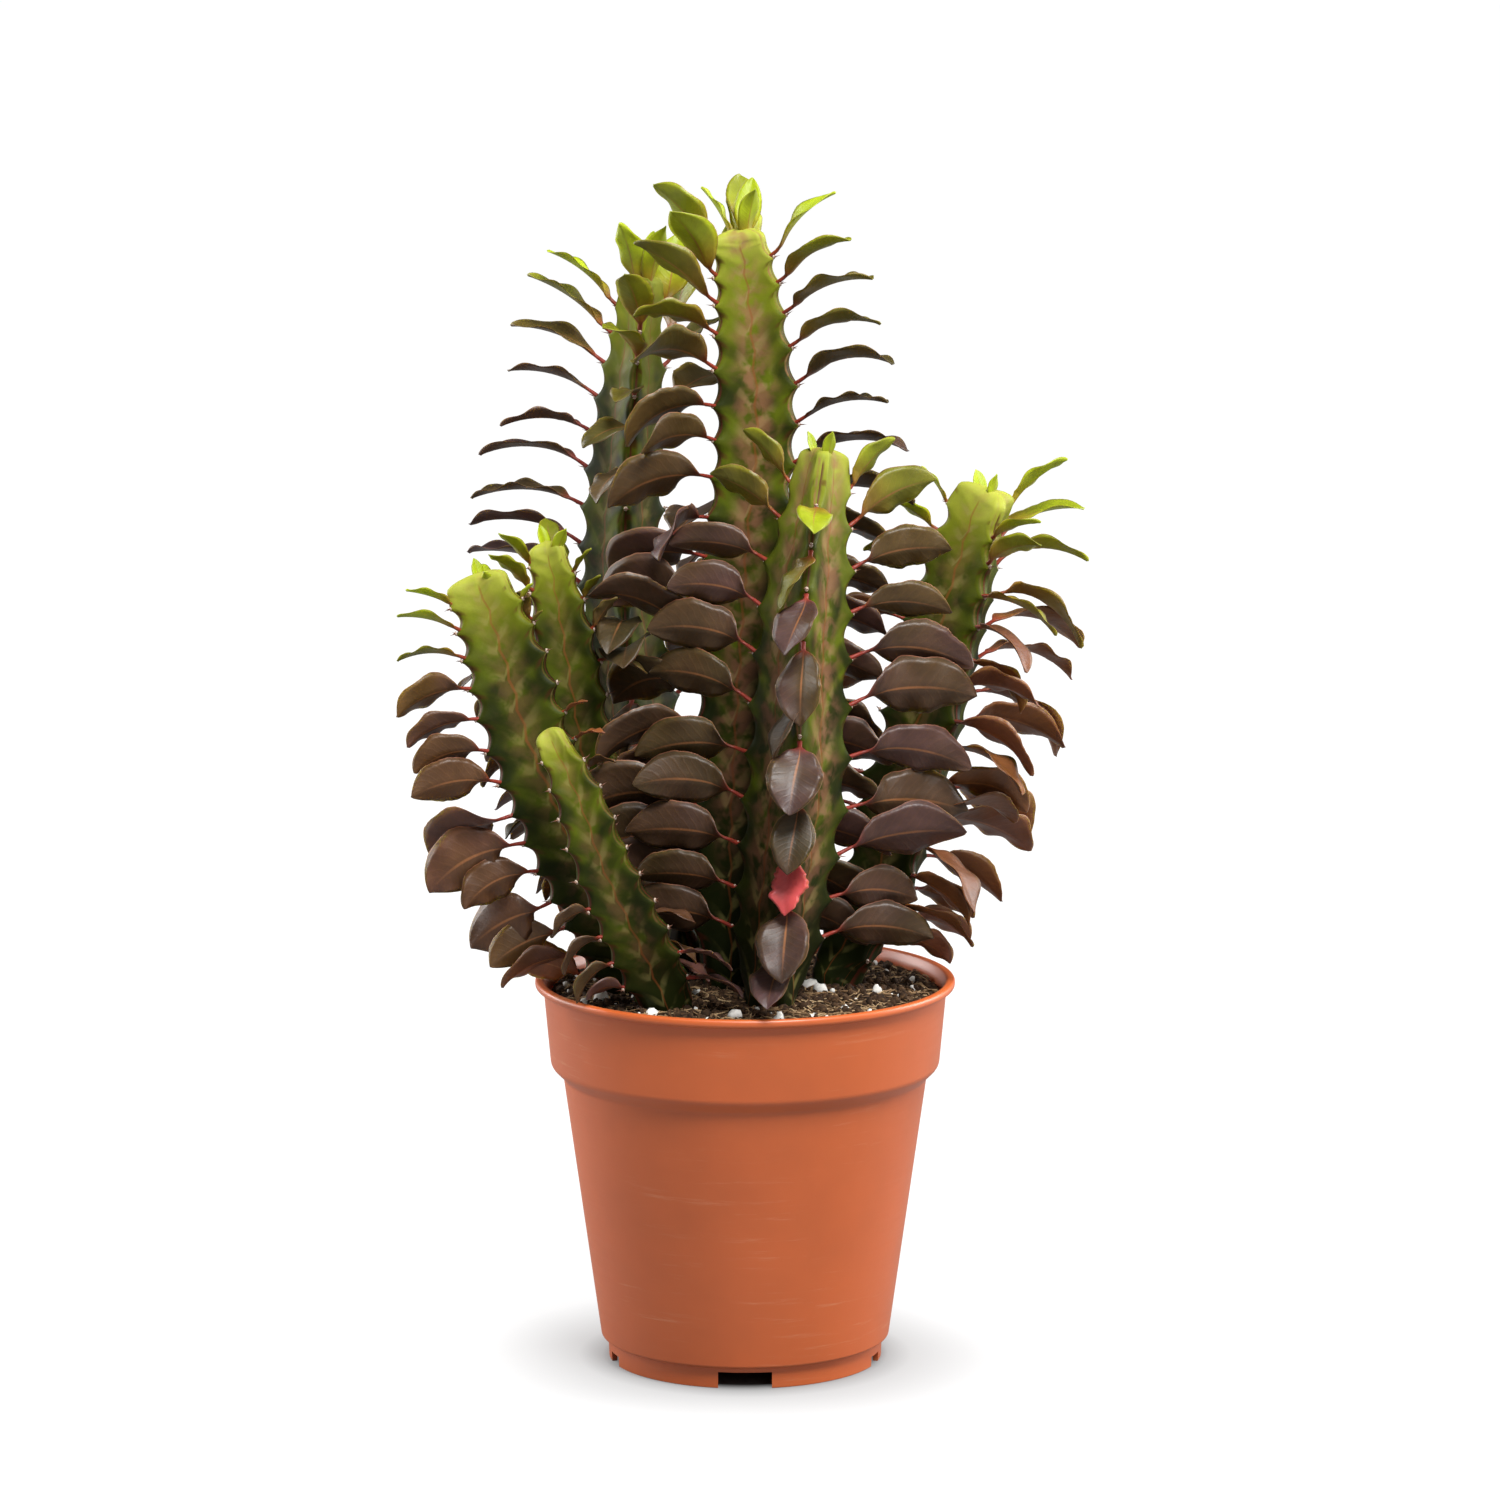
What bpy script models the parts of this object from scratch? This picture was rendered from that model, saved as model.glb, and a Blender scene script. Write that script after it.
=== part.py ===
"""Potted three-winged euphorbia: seven leafy stems in a round nursery pot.

Metres, +Z up. The front of the plant faces -Y. The origin is on the ground, in the middle of
the pot's foot. Azimuths are degrees from the front, positive towards +X.
"""
import math
import random

import bpy
import numpy as np
from mathutils import Matrix, Vector
from mathutils.bvhtree import BVHTree

MM = 0.001
UP = Vector((0.0, 0.0, 1.0))

# ---------------------------------------------------------------- pot and soil
POT_HEIGHT = 0.1575
POT_WALL = 0.0016
TURN_STEPS = 30
LIP_RADIUS = 0.0853
LIP_TALL = 0.0034
BAND_TOP_RADIUS = 0.0819
BAND_LOW_RADIUS = 0.0790
BAND_LOW_Z = 0.1235
BODY_TOP_RADIUS = 0.0736
BODY_TOP_Z = 0.1162
BODY_LOW_RADIUS = 0.0588
FLOOR_TOP_Z = 0.0094
FLOOR_UNDER_Z = 0.0076
FOOT_RADIUS = 0.0557
FOOT_RING = 0.0022

NOTCHES = 5
# width and height of the wide notch in front and of the other four
FRONT_NOTCH = (0.0217, 0.0068)
SIDE_NOTCH = (0.0095, 0.0042)
DRAIN_SIDES = 10
DRAIN_RADIUS = 0.0050
DRAIN_CIRCLE = 0.0440

GAP = 0.0003
SOIL_TOP_Z = 0.1542
SOIL_EDGE_Z = 0.1520
SOIL_LEVEL = 0.1547

# ---------------------------------------------------------------- stems
PEG_RADIUS = 0.0105
PEG_BOTTOM_Z = 0.1230
HOLE_SIDES = 12
CREST_HALF = 0.00125
VALLEY = 0.40
TOOTH_DEPTH = 0.21
COLLAR = 0.022
PATH_STEPS = 8
DIRECTION_STEP = 0.004
TIP_RISE = 0.004
# edges sharper than this, in degrees, stay sharp when a stem is shaded smooth
FACET_ANGLE = 40.0

# heights along a stem, as fractions, at which its four-value rules are given
RULE_HEIGHTS = (0.0, 0.4, 0.8, 1.0)

# ---------------------------------------------------------------- leaves
LEAF_STEPS = 14
LEAF_STATIONS = (0.0, 0.21, 0.50, 0.82, 1.0)
# leaves shorter than this are drawn with fewer stations
SHORT_LEAF = 0.041
SHORT_STATIONS = (0.0, 0.27, 0.66, 1.0)
PETIOLE = 0.15
PETIOLE_HALF = 0.00085
BLADE_HALF_THICKNESS = 0.0005
BLADE_FOLD = 0.26
BLADE_ASPECT = 0.44
# how sharply the blade narrows to its tip, and the widest value that this gives
BLADE_POINT = 0.72
BLADE_WIDEST = 0.3106
# shares of the leaf over which it leaves its tooth straight, then turns and rolls
STRAIGHT_SHARE = 0.1
TURN_SHARE = 0.3
ROOT_SINK = 0.0034
CLEARANCE = 0.0005
LEAF_SEED = 41
# a stalk leaves its tooth no steeper than this, in degrees
STALK_RISE = 30.0
APEX_SINK = 0.006
APEX_RISE = 82.0
# above this height, as a fraction of the stem, every tooth has its leaf
CROWN = 0.85
REACH_LOW = (-0.140, -0.0935, 0.0)
REACH_HIGH = (0.1405, 0.099, 0.6)

# turns in azimuth, changes in rise, and scales that are tried in this order to bend a leaf clear
BENDS = [(turn, lift, scale)
         for scale in (1.0, 0.85, 0.7, 0.55)
         for lift in (0, 12, -12, 24, -24, 38)
         for turn in (0, 14, -14, 28, -28, 42, -42)]


def rib(azimuth, turn, face, rise, bend, length, leafy=(0.06, 1.0), keep=1.0, phase=0.0, loose=1.0,
        broad=1.0):
    """One wing of a stem and the rule for its leaves, each four-value rule from base to tip."""
    return {"azimuth": azimuth, "turn": turn, "face": face, "rise": rise, "bend": bend, "length": length,
            "leafy": leafy, "keep": keep, "phase": phase, "loose": loose, "broad": broad}


STEMS = {
    "stem_front": {
        "path": [(10, -33, 155), (15, -44, 199), (20, -47, 244),
                 (22, -43, 291), (25, -38, 331), (31, -32, 374)],
        "wing": (20, 25, 21, 11), "pitch": (17, 21, 17, 9), "apex": (2, 16), "twist": -6,
        "ribs": [
            rib(4, -16, (0, 0, 0, 0), (-42, -42, -38, 20), (36, 38, 42, 40), (47, 36, 33, 22),
                leafy=(0.1, 1.0), phase=0.5, loose=1.7, broad=1.36),
            rib(120, -18, (75, 75, 75, 50), (14, 18, 28, 70), (36, 38, 45, 30), (48, 50, 46, 25)),
            rib(-120, 20, (75, 75, 75, 50), (16, 18, 30, 72), (36, 40, 45, 30), (46, 48, 42, 23)),
        ]},
    "stem_tallest": {
        "path": [(-7, 2, 156), (-7, 4, 212), (-4, 7, 273), (0, 9, 333),
                 (4, 10, 381), (2, 8, 426), (-2, 5, 458)],
        "wing": (17, 19.5, 20.5, 13.5), "pitch": (16, 17, 15, 9), "apex": (3, 27), "twist": -8,
        "ribs": [
            rib(-50, -14, (60, 60, 50, 30), (8, 10, 20, 75), (70, 70, 65, 25), (46, 50, 44, 34),
                loose=1.5, broad=1.2),
            rib(66, 12, (60, 55, 8, 0), (5, 15, 36, 68), (60, 55, 55, 40), (48, 52, 46, 36),
                phase=0.5),
            rib(184, 20, (30, 30, 30, 0), (15, 22, 35, 75), (50, 45, 45, 30), (52, 58, 46, 30),
                keep=0.6),
        ]},
    "stem_tall_left": {
        "path": [(-20, 34, 156), (-33, 41, 202), (-46, 39, 264),
                 (-50, 31, 323), (-46, 21, 385), (-41, 14, 438)],
        "wing": (18, 22, 18, 9), "pitch": (17, 17, 15, 9), "apex": (4, 30), "twist": 4,
        "ribs": [
            rib(0, -26, (0, 0, 0, 0), (0, 0, 20, 74), (80, 80, 70, 20), (42, 46, 32, 30),
                keep=0.75, phase=0.5, loose=2.0),
            rib(120, 12, (30, 30, 40, 20), (15, 20, 30, 72), (40, 36, 45, 30), (52, 54, 42, 30),
                keep=0.9, loose=2.4, broad=1.15),
            rib(-118, 20, (30, 8, 6, 0), (10, 20, 34, 60), (55, 56, 60, 30), (44, 52, 44, 38)),
        ]},
    "stem_right": {
        "path": [(37, 5, 155), (56, 12, 191), (67, 16, 228), (77, 16, 265),
                 (86, 14, 306), (94, 12, 339), (99, 10, 352)],
        "wing": (17, 22, 21, 14), "pitch": (13, 13.5, 13, 8), "apex": (2, 13), "twist": 0,
        "ribs": [
            rib(24, 34, (40, 40, 30, 0), (0, 4, 16, 62), (70, 75, 75, 25), (32, 46, 38, 20),
                keep=0.9, phase=0.5, loose=1.7),
            rib(140, -44, (40, 40, 20, 0), (-20, 0, 14, 56), (50, 62, 75, 30), (26, 52, 52, 34),
                keep=0.8, loose=1.3),
            rib(-98, 10, (60, 60, 50, 20), (10, 15, 25, 72), (60, 55, 50, 20), (42, 44, 34, 15),
                keep=0.85, loose=1.3),
        ]},
    "stem_outer_left": {
        "path": [(-46, -6, 155), (-58, -25, 192), (-74, -33, 233),
                 (-86, -35, 263), (-94, -34, 291), (-105, -30, 324)],
        "wing": (16, 21, 20, 15), "pitch": (12.5, 13, 12, 8), "apex": (2, 12), "twist": 0,
        "ribs": [
            rib(-62, -18, (70, 68, 40, 0), (-22, -8, 15, 50), (44, 50, 55, 25), (26, 41, 34, 17),
                loose=1.7, broad=1.2),
            rib(60, -4, (10, 10, 10, 0), (20, 25, 50, 60), (70, 60, 30, 10), (26, 20, 9, 7),
                keep=0.6, phase=0.5),
            rib(180, 34, (45, 45, 30, 0), (-10, 0, 22, 58), (50, 60, 55, 25), (24, 40, 34, 15),
                keep=0.75, loose=1.5),
        ]},
    "stem_short": {
        "path": [(-31, -36, 155), (-45, -54, 190), (-56, -63, 216), (-64, -66, 240), (-76, -64, 267)],
        "wing": (16, 15, 11.5, 7), "pitch": (13, 13, 12, 8), "apex": (0, 0), "twist": 0,
        "ribs": [
            rib(-60, -6, (50, 50, 30, 0), (-5, 0, 20, 40), (80, 60, 20, 10), (38, 20, 10, 8),
                leafy=(0.05, 0.55), broad=1.3),
            rib(62, 0, (10, 10, 10, 0), (10, 10, 20, 40), (90, 80, 20, 10), (28, 16, 10, 8),
                leafy=(0.05, 0.3), phase=0.5),
            rib(180, 0, (0, 0, 0, 0), (20, 30, 20, 40), (30, 30, 20, 10), (20, 14, 10, 8),
                leafy=(0.05, 0.4), keep=0.3),
        ]},
    "stem_inner_left": {
        "path": [(-49, 28, 155), (-56, 19, 195), (-63, 8, 232),
                 (-69, -1, 270), (-74, -4, 303), (-79, -5, 333)],
        "wing": (14, 17, 16, 9), "pitch": (14, 14, 13, 8), "apex": (2, 15), "twist": 0,
        "ribs": [
            rib(-55, -6, (30, 30, 20, 0), (20, 20, 40, 65), (60, 60, 45, 25), (30, 28, 22, 24),
                keep=0.7),
            rib(60, -10, (30, 30, 20, 0), (15, 20, 40, 65), (60, 60, 40, 20), (28, 30, 18, 14),
                keep=0.7, phase=0.5),
            rib(180, 10, (0, 0, 0, 0), (15, 20, 35, 65), (50, 50, 45, 25), (44, 46, 30, 20), keep=0.3),
        ]},
}


# ---------------------------------------------------------------- helpers
def clear_scene():
    """Empty the scene before the model is made."""
    for item in list(bpy.data.objects):
        bpy.data.objects.remove(item, do_unlink=True)


def new_collection(name):
    """A collection linked to the scene."""
    collection = bpy.data.collections.new(name)
    bpy.context.scene.collection.children.link(collection)
    return collection


def new_material(name, colour, roughness):
    """A plain Principled material."""
    material = bpy.data.materials.new(name)
    material.use_nodes = True
    shader = material.node_tree.nodes["Principled BSDF"]
    shader.inputs["Base Color"].default_value = (*colour, 1.0)
    shader.inputs["Roughness"].default_value = roughness
    shader.inputs["Metallic"].default_value = 0.0
    return material


def mesh_object(name, points, faces, collection, material=None):
    """A mesh object from points and faces."""
    mesh = bpy.data.meshes.new(name)
    mesh.from_pydata([tuple(point) for point in points], [], faces)
    if material:
        mesh.materials.append(material)
    piece = bpy.data.objects.new(name, mesh)
    collection.objects.link(piece)
    return piece


def mark_cutter(piece, collection):
    """Move a primitive to the cutters' collection and keep it out of the renders."""
    for old in list(piece.users_collection):
        old.objects.unlink(piece)
    collection.objects.link(piece)
    piece.hide_render = True
    piece.display_type = "WIRE"


def add_boolean(piece, collection, operation, solver="EXACT"):
    """A Boolean of one object with a whole collection."""
    boolean = piece.modifiers.new(operation.lower(), "BOOLEAN")
    boolean.operation = operation
    boolean.operand_type = "COLLECTION"
    boolean.collection = collection
    boolean.solver = solver


def apply_modifiers(piece):
    """Replace an object's mesh by its evaluated one."""
    depsgraph = bpy.context.evaluated_depsgraph_get()
    applied = bpy.data.meshes.new_from_object(piece.evaluated_get(depsgraph))
    piece.modifiers.clear()
    old = piece.data
    piece.data = applied
    applied.name = piece.name
    bpy.data.meshes.remove(old)


def turned(name, profile, steps, collection, material):
    """A turned body: a profile of (radius, height) pairs with a Screw modifier."""
    edges = [(i, i + 1) for i in range(len(profile) - 1)]
    mesh = bpy.data.meshes.new(name)
    mesh.from_pydata([(radius, 0.0, height) for radius, height in profile], edges, [])
    mesh.materials.append(material)
    piece = bpy.data.objects.new(name, mesh)
    collection.objects.link(piece)
    screw = piece.modifiers.new("turn", "SCREW")
    screw.steps = steps
    screw.render_steps = steps
    screw.use_merge_vertices = True
    screw.merge_threshold = 0.00005
    screw.use_smooth_shade = True
    return piece


def ring_places(count, radius, offset=0.0):
    """Azimuths and places evenly round the pot's axis."""
    places = []
    for i in range(count):
        angle = math.radians(offset + 360.0 * i / count)
        places.append((angle, Vector((radius * math.sin(angle), -radius * math.cos(angle), 0.0))))
    return places


# ---------------------------------------------------------------- pot
def wall_inside():
    """The pot's inner wall from the floor up to the lip, as (radius, height) pairs."""
    return [
        (FOOT_RADIUS - POT_WALL, FLOOR_TOP_Z),
        (BODY_LOW_RADIUS - POT_WALL, FLOOR_TOP_Z + 2 * MM),
        (BODY_TOP_RADIUS - POT_WALL, BODY_TOP_Z),
        (BAND_LOW_RADIUS - POT_WALL, BAND_LOW_Z),
        (BAND_TOP_RADIUS - POT_WALL, POT_HEIGHT - LIP_TALL),
    ]


def pot_profile():
    """From the middle of the floor up the inside, over the lip, down the outside and under the foot."""
    inside = [(0.0, FLOOR_TOP_Z), *wall_inside()]
    lip = [
        (LIP_RADIUS - 3.4 * MM, POT_HEIGHT - 1.2 * MM),
        (LIP_RADIUS - 2.4 * MM, POT_HEIGHT),
        (LIP_RADIUS - 0.9 * MM, POT_HEIGHT - 0.3 * MM),
        (LIP_RADIUS, POT_HEIGHT - 1.5 * MM),
        (LIP_RADIUS - 0.6 * MM, POT_HEIGHT - 2.9 * MM),
        (BAND_TOP_RADIUS, POT_HEIGHT - LIP_TALL - 0.6 * MM),
    ]
    band = [
        (BAND_LOW_RADIUS, BAND_LOW_Z),
        (BAND_LOW_RADIUS - 1.3 * MM, BAND_LOW_Z - 2.6 * MM),
        (BODY_TOP_RADIUS + 1.5 * MM, BODY_TOP_Z + 2.0 * MM),
        (BODY_TOP_RADIUS, BODY_TOP_Z),
    ]
    foot = [
        (BODY_LOW_RADIUS, FLOOR_TOP_Z),
        (FOOT_RADIUS + 0.4 * MM, FLOOR_TOP_Z - 0.9 * MM),
        (FOOT_RADIUS, 0.0),
        (FOOT_RADIUS - FOOT_RING, 0.0),
        (FOOT_RADIUS - FOOT_RING, FLOOR_UNDER_Z),
        (0.0, FLOOR_UNDER_Z),
    ]
    return inside + lip + band + foot


def build_pot(parts, material):
    """The nursery pot, with notches through its foot ring and drain holes in its floor."""
    pot = turned("pot", pot_profile(), TURN_STEPS, parts, material)
    cutters = new_collection("pot_cutters")
    for angle, place in ring_places(NOTCHES, FOOT_RADIUS):
        wide, tall = SIDE_NOTCH if angle else FRONT_NOTCH
        bpy.ops.mesh.primitive_cube_add(size=1.0, location=place + UP * (tall / 2 - MM),
                                        rotation=(0.0, 0.0, angle))
        cutter = bpy.context.object
        cutter.scale = (wide, 10 * MM, tall + 2 * MM)
        mark_cutter(cutter, cutters)
    drains = ring_places(NOTCHES, DRAIN_CIRCLE, 36.0) + [(0.0, Vector())]
    for _, place in drains:
        bpy.ops.mesh.primitive_cylinder_add(vertices=DRAIN_SIDES, radius=DRAIN_RADIUS, depth=6 * MM,
                                            location=place + UP * (FLOOR_TOP_Z + FLOOR_UNDER_Z) / 2)
        mark_cutter(bpy.context.object, cutters)
    add_boolean(pot, cutters, "DIFFERENCE")
    return pot


# ---------------------------------------------------------------- soil
def soil_profile():
    """A solid plug of soil, slightly raised in the middle, a gap clear of the pot."""
    wall = [(radius - GAP, height) for radius, height in wall_inside()]
    low, top = wall[-2], wall[-1]
    share = (SOIL_EDGE_Z - low[1]) / (top[1] - low[1])
    edge = (low[0] + share * (top[0] - low[0]) - 0.0001, SOIL_EDGE_Z)
    side = [edge, *reversed(wall[1:-1])]
    crown = [(0.0, 0.0), (0.35, 0.2), (0.75, 1.2)]
    surface = [(share * edge[0], SOIL_TOP_Z - drop * MM) for share, drop in crown]
    return surface + side + [(wall[0][0], FLOOR_TOP_Z + GAP), (0.0, FLOOR_TOP_Z + GAP)]


def build_soil(parts, material):
    """The soil, with a plain round hole for each stem's foot."""
    soil = turned("soil", soil_profile(), TURN_STEPS, parts, material)
    cutters = new_collection("soil_cutters")
    depth = 0.04
    for stem in STEMS.values():
        x, y, _ = stem["path"][0]
        place = Vector((x * MM, y * MM, PEG_BOTTOM_Z - GAP + depth / 2))
        radius = (PEG_RADIUS + GAP) / math.cos(math.pi / HOLE_SIDES)
        bpy.ops.mesh.primitive_cylinder_add(vertices=HOLE_SIDES, radius=radius, depth=depth, location=place)
        mark_cutter(bpy.context.object, cutters)
    add_boolean(soil, cutters, "DIFFERENCE")
    return soil


# ---------------------------------------------------------------- stems
def smooth(value):
    """0 to 1 with level ends."""
    value = min(max(value, 0.0), 1.0)
    return value * value * (3.0 - 2.0 * value)


def rule(values, height):
    """A four-value rule at a fraction of the stem's height."""
    return float(np.interp(height, RULE_HEIGHTS, values))


def outward(azimuth):
    """The level direction at an azimuth in degrees."""
    angle = math.radians(azimuth)
    return Vector((math.sin(angle), -math.cos(angle), 0.0))


class Stem:
    """The smooth path, wings and teeth of one stem."""

    def __init__(self, name):
        spec = STEMS[name]
        self.name = name
        self.spec = spec
        points = [Vector(point) * MM for point in spec["path"]]
        points = [2 * points[0] - points[1], *points, 2 * points[-1] - points[-2]]
        line = []
        for p0, p1, p2, p3 in zip(points, points[1:], points[2:], points[3:]):
            for i in range(PATH_STEPS):
                t = i / PATH_STEPS
                line.append(0.5 * (2 * p1 + (p2 - p0) * t + (2 * p0 - 5 * p1 + 4 * p2 - p3) * t ** 2
                                   + (3 * p1 - p0 - 3 * p2 + p3) * t ** 3))
        line.append(points[-2])
        self.coords = np.array(line)
        self.runs = [0.0]
        for a, b in zip(line, line[1:]):
            self.runs.append(self.runs[-1] + (b - a).length)
        self.length = self.runs[-1]
        self.teeth = self.tooth_heights()

    def point(self, run):
        """The middle of the stem at a distance along it."""
        return Vector([float(np.interp(run, self.runs, self.coords[:, k])) for k in range(3)])

    def place(self, run):
        """Point and direction at a distance along the stem."""
        low = max(run - DIRECTION_STEP, 0.0)
        high = min(run + DIRECTION_STEP, self.length)
        return self.point(run), (self.point(high) - self.point(low)).normalized()

    def tooth_heights(self):
        """Distances along the stem of its teeth, closer together towards the tip."""
        run = 0.45 * self.spec["pitch"][0] * MM
        runs = []
        while run < self.length - 2 * MM:
            runs.append(run)
            run += rule(self.spec["pitch"], run / self.length) * MM
        return runs

    def radial(self, run, azimuth):
        """The direction square to the stem that faces an azimuth."""
        _, along = self.place(run)
        twisted = azimuth + self.spec["twist"] * run / self.length
        front = outward(0.0)
        front = (front - front.dot(along) * along).normalized()
        right = along.cross(front)
        angle = math.radians(twisted)
        return front * math.cos(angle) + right * math.sin(angle)

    def margin(self, run, phase):
        """How far a wing's toothed edge stands out at this height, as a share of the full wing."""
        marks = self.teeth
        index = int(np.searchsorted(marks, run, side="right")) - 1
        low = marks[max(index, 0)]
        high = marks[min(index + 1, len(marks) - 1)]
        share = (run - low) / (high - low) if high > low else 0.0
        return 1.0 - TOOTH_DEPTH * abs(math.sin(math.pi * (share + phase)))

    def wing(self, run):
        """The full reach of the wings at this height."""
        return rule(self.spec["wing"], run / self.length) * MM

    def section(self, run):
        """Nine points round the stem: two on each crest and one in each valley."""
        here, _ = self.place(run)
        reach = self.wing(run)
        winged = smooth(run / COLLAR)
        points = []
        for one in self.spec["ribs"]:
            crest = reach * self.margin(run, one["phase"])
            crest = PEG_RADIUS + (crest - PEG_RADIUS) * winged
            valley = PEG_RADIUS + (reach * VALLEY - PEG_RADIUS) * winged
            spread = math.degrees(math.asin(min(1.0, (CREST_HALF + (1 - winged) * 2.5 * MM) / crest)))
            points.append(here + crest * self.radial(run, one["azimuth"] - spread))
            points.append(here + crest * self.radial(run, one["azimuth"] + spread))
            points.append(here + valley * self.radial(run, one["azimuth"] + 60.0))
        return points

    def tooth(self, rib_index, tooth_index):
        """Where a wing's tooth stands: its distance along the stem."""
        one = self.spec["ribs"][rib_index]
        run = self.teeth[tooth_index]
        if one["phase"]:
            nxt = tooth_index + 1
            run = 0.5 * (run + self.teeth[nxt]) if nxt < len(self.teeth) else None
        return run


def stem_body(stem):
    """Points and faces of one bare stem: its round foot in the soil, its wings and its blunt tip."""
    runs = []
    for low, high in zip(stem.teeth, stem.teeth[1:]):
        runs += [low, 0.5 * (low + high)]
    runs += [stem.teeth[-1], stem.length]
    base, _ = stem.place(0.0)
    count = 3 * len(stem.spec["ribs"])
    points = []
    for height in (PEG_BOTTOM_Z, SOIL_LEVEL + 0.5 * MM):
        foot = Vector((base.x, base.y, height))
        for one in stem.spec["ribs"]:
            for offset in (-18.0, 18.0, 60.0):
                points.append(foot + PEG_RADIUS * outward(one["azimuth"] + offset))
    for run in runs:
        points += stem.section(run)
    rings = len(runs) + 2
    faces = [list(reversed(range(count)))]
    for r in range(rings - 1):
        for k in range(count):
            a = r * count + k
            b = r * count + (k + 1) % count
            faces.append([a, b, b + count])
            faces.append([a, b + count, a + count])
    here, along = stem.place(stem.length)
    points.append(here + TIP_RISE * along)
    last = (rings - 1) * count
    for k in range(count):
        faces.append([last + k, last + (k + 1) % count, len(points) - 1])
    return points, faces


# ---------------------------------------------------------------- leaves
def blade_half(share):
    """Half width of the blade as a share of its widest, along the leaf."""
    t = min(max((share - PETIOLE) / (1.0 - PETIOLE), 0.0), 1.0)
    return t * (1.0 - t) ** BLADE_POINT / BLADE_WIDEST


def leaf_line(leaf):
    """Centres, side and up directions along a leaf, from its sunk root to its tip."""
    start, turn = leaf["start"]
    total = leaf["length"] + ROOT_SINK
    step = total / LEAF_STEPS
    here = leaf["root"].copy()
    frames = []
    for i in range(LEAF_STEPS + 1):
        share = i / LEAF_STEPS
        slope = start + (leaf["rise"] - start) * smooth(share / 0.25)
        slope -= leaf["bend"] * max(share - 0.1, 0.0) / 0.9
        turned_by = smooth((share - STRAIGHT_SHARE) / TURN_SHARE)
        out = outward(turn + (leaf["azimuth"] - turn) * turned_by + leaf["sway"] * share)
        slope = math.radians(slope)
        along = out * math.cos(slope) + UP * math.sin(slope)
        up = UP * math.cos(slope) - out * math.sin(slope)
        side = along.cross(up)
        roll = Matrix.Rotation(math.radians(leaf["roll"]) * turned_by, 3, along)
        frames.append((here.copy(), roll @ side, roll @ up))
        here += along * step
    return frames


def leaf_mesh(leaf, extra=0.0, start=0):
    """A closed, folded blade on a slim stalk. extra fattens it for tests, start drops root stations."""
    frames = leaf_line(leaf)
    stations = LEAF_STATIONS if leaf["length"] > SHORT_LEAF else SHORT_STATIONS
    points = []
    for share in stations[start:-1]:
        at = share * LEAF_STEPS
        low = min(int(at), LEAF_STEPS - 1)
        mix = at - low
        centre, side, up = [a.lerp(b, mix) for a, b in zip(frames[low], frames[low + 1])]
        half = max(PETIOLE_HALF, blade_half(share) * leaf["width"] / 2) + extra
        thick = max(BLADE_HALF_THICKNESS, PETIOLE_HALF * (1.0 - share / 0.5)) + extra
        fold = BLADE_FOLD * (half - PETIOLE_HALF - extra)
        points.append(centre + side * half + up * fold)
        points.append(centre + up * thick)
        points.append(centre - side * half + up * fold)
        points.append(centre - up * thick)
    points.append(frames[-1][0])
    rings = len(stations) - 1 - start
    faces = [[0, 1, 3], [1, 2, 3]]
    for r in range(rings - 1):
        for k in range(4):
            a, b = 4 * r + k, 4 * r + (k + 1) % 4
            if k % 2 == 0:
                faces += [[a, a + 4, b + 4], [a, b + 4, b]]
            else:
                faces += [[a, a + 4, b], [a + 4, b + 4, b]]
    tip = len(points) - 1
    for k in range(4):
        faces.append([4 * (rings - 1) + k, tip, 4 * (rings - 1) + (k + 1) % 4])
    return points, faces


def leaf_rule(stem, stem_index, rib_index, tooth_index):
    """The leaf at one tooth, or None where the tooth is bare."""
    one = stem.spec["ribs"][rib_index]
    run = stem.tooth(rib_index, tooth_index)
    draw = random.Random(LEAF_SEED + 1000 * stem_index + 100 * rib_index + tooth_index)
    chance = draw.random()
    if run is None:
        return None
    height = run / stem.length
    low, high = one["leafy"]
    if not low <= height <= high or (chance > one["keep"] and height < CROWN):
        return None
    azimuth = one["azimuth"] + stem.spec["twist"] * height
    loose = one["loose"]
    heading = azimuth + one["turn"] + loose * draw.uniform(-10, 10)
    length = rule(one["length"], height) * MM * draw.uniform(0.86, 1.12)
    rise = rule(one["rise"], height) + loose * draw.uniform(-8, 8)
    here, _ = stem.place(run)
    crest = stem.wing(run) * stem.margin(run, one["phase"]) - ROOT_SINK
    roll = -rule(one["face"], height) * math.sin(math.radians(heading)) + loose * draw.uniform(-14, 14)
    return {
        "root": here + crest * stem.radial(run, one["azimuth"]),
        "start": (min(rise, STALK_RISE), azimuth),
        "azimuth": heading,
        "rise": rise,
        "bend": rule(one["bend"], height) * draw.uniform(0.75, 1.25),
        "sway": loose * draw.uniform(-16, 16),
        "roll": roll,
        "length": length,
        "width": length * BLADE_ASPECT * one["broad"] * draw.uniform(0.9, 1.1),
        "height": height,
    }


def apex_leaves(stem, stem_index):
    """Young leaves that stand upright round the growing tip."""
    count, length = stem.spec["apex"]
    here, along = stem.place(stem.length)
    leaves = []
    for i in range(count):
        draw = random.Random(LEAF_SEED + 1000 * stem_index + 500 + i)
        azimuth = 360.0 * i / count + draw.uniform(20, 60)
        size = length * MM * draw.uniform(0.8, 1.1)
        rise = APEX_RISE + draw.uniform(-8, 4)
        leaves.append({
            "root": here - APEX_SINK * along + 2.5 * MM * outward(azimuth),
            "start": (rise, azimuth),
            "azimuth": azimuth,
            "rise": rise,
            "bend": draw.uniform(5, 30),
            "sway": draw.uniform(-16, 16),
            "roll": draw.uniform(-20, 20),
            "length": size,
            "width": size * BLADE_ASPECT * draw.uniform(0.9, 1.1),
            "height": 1.0,
        })
    return leaves


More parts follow.
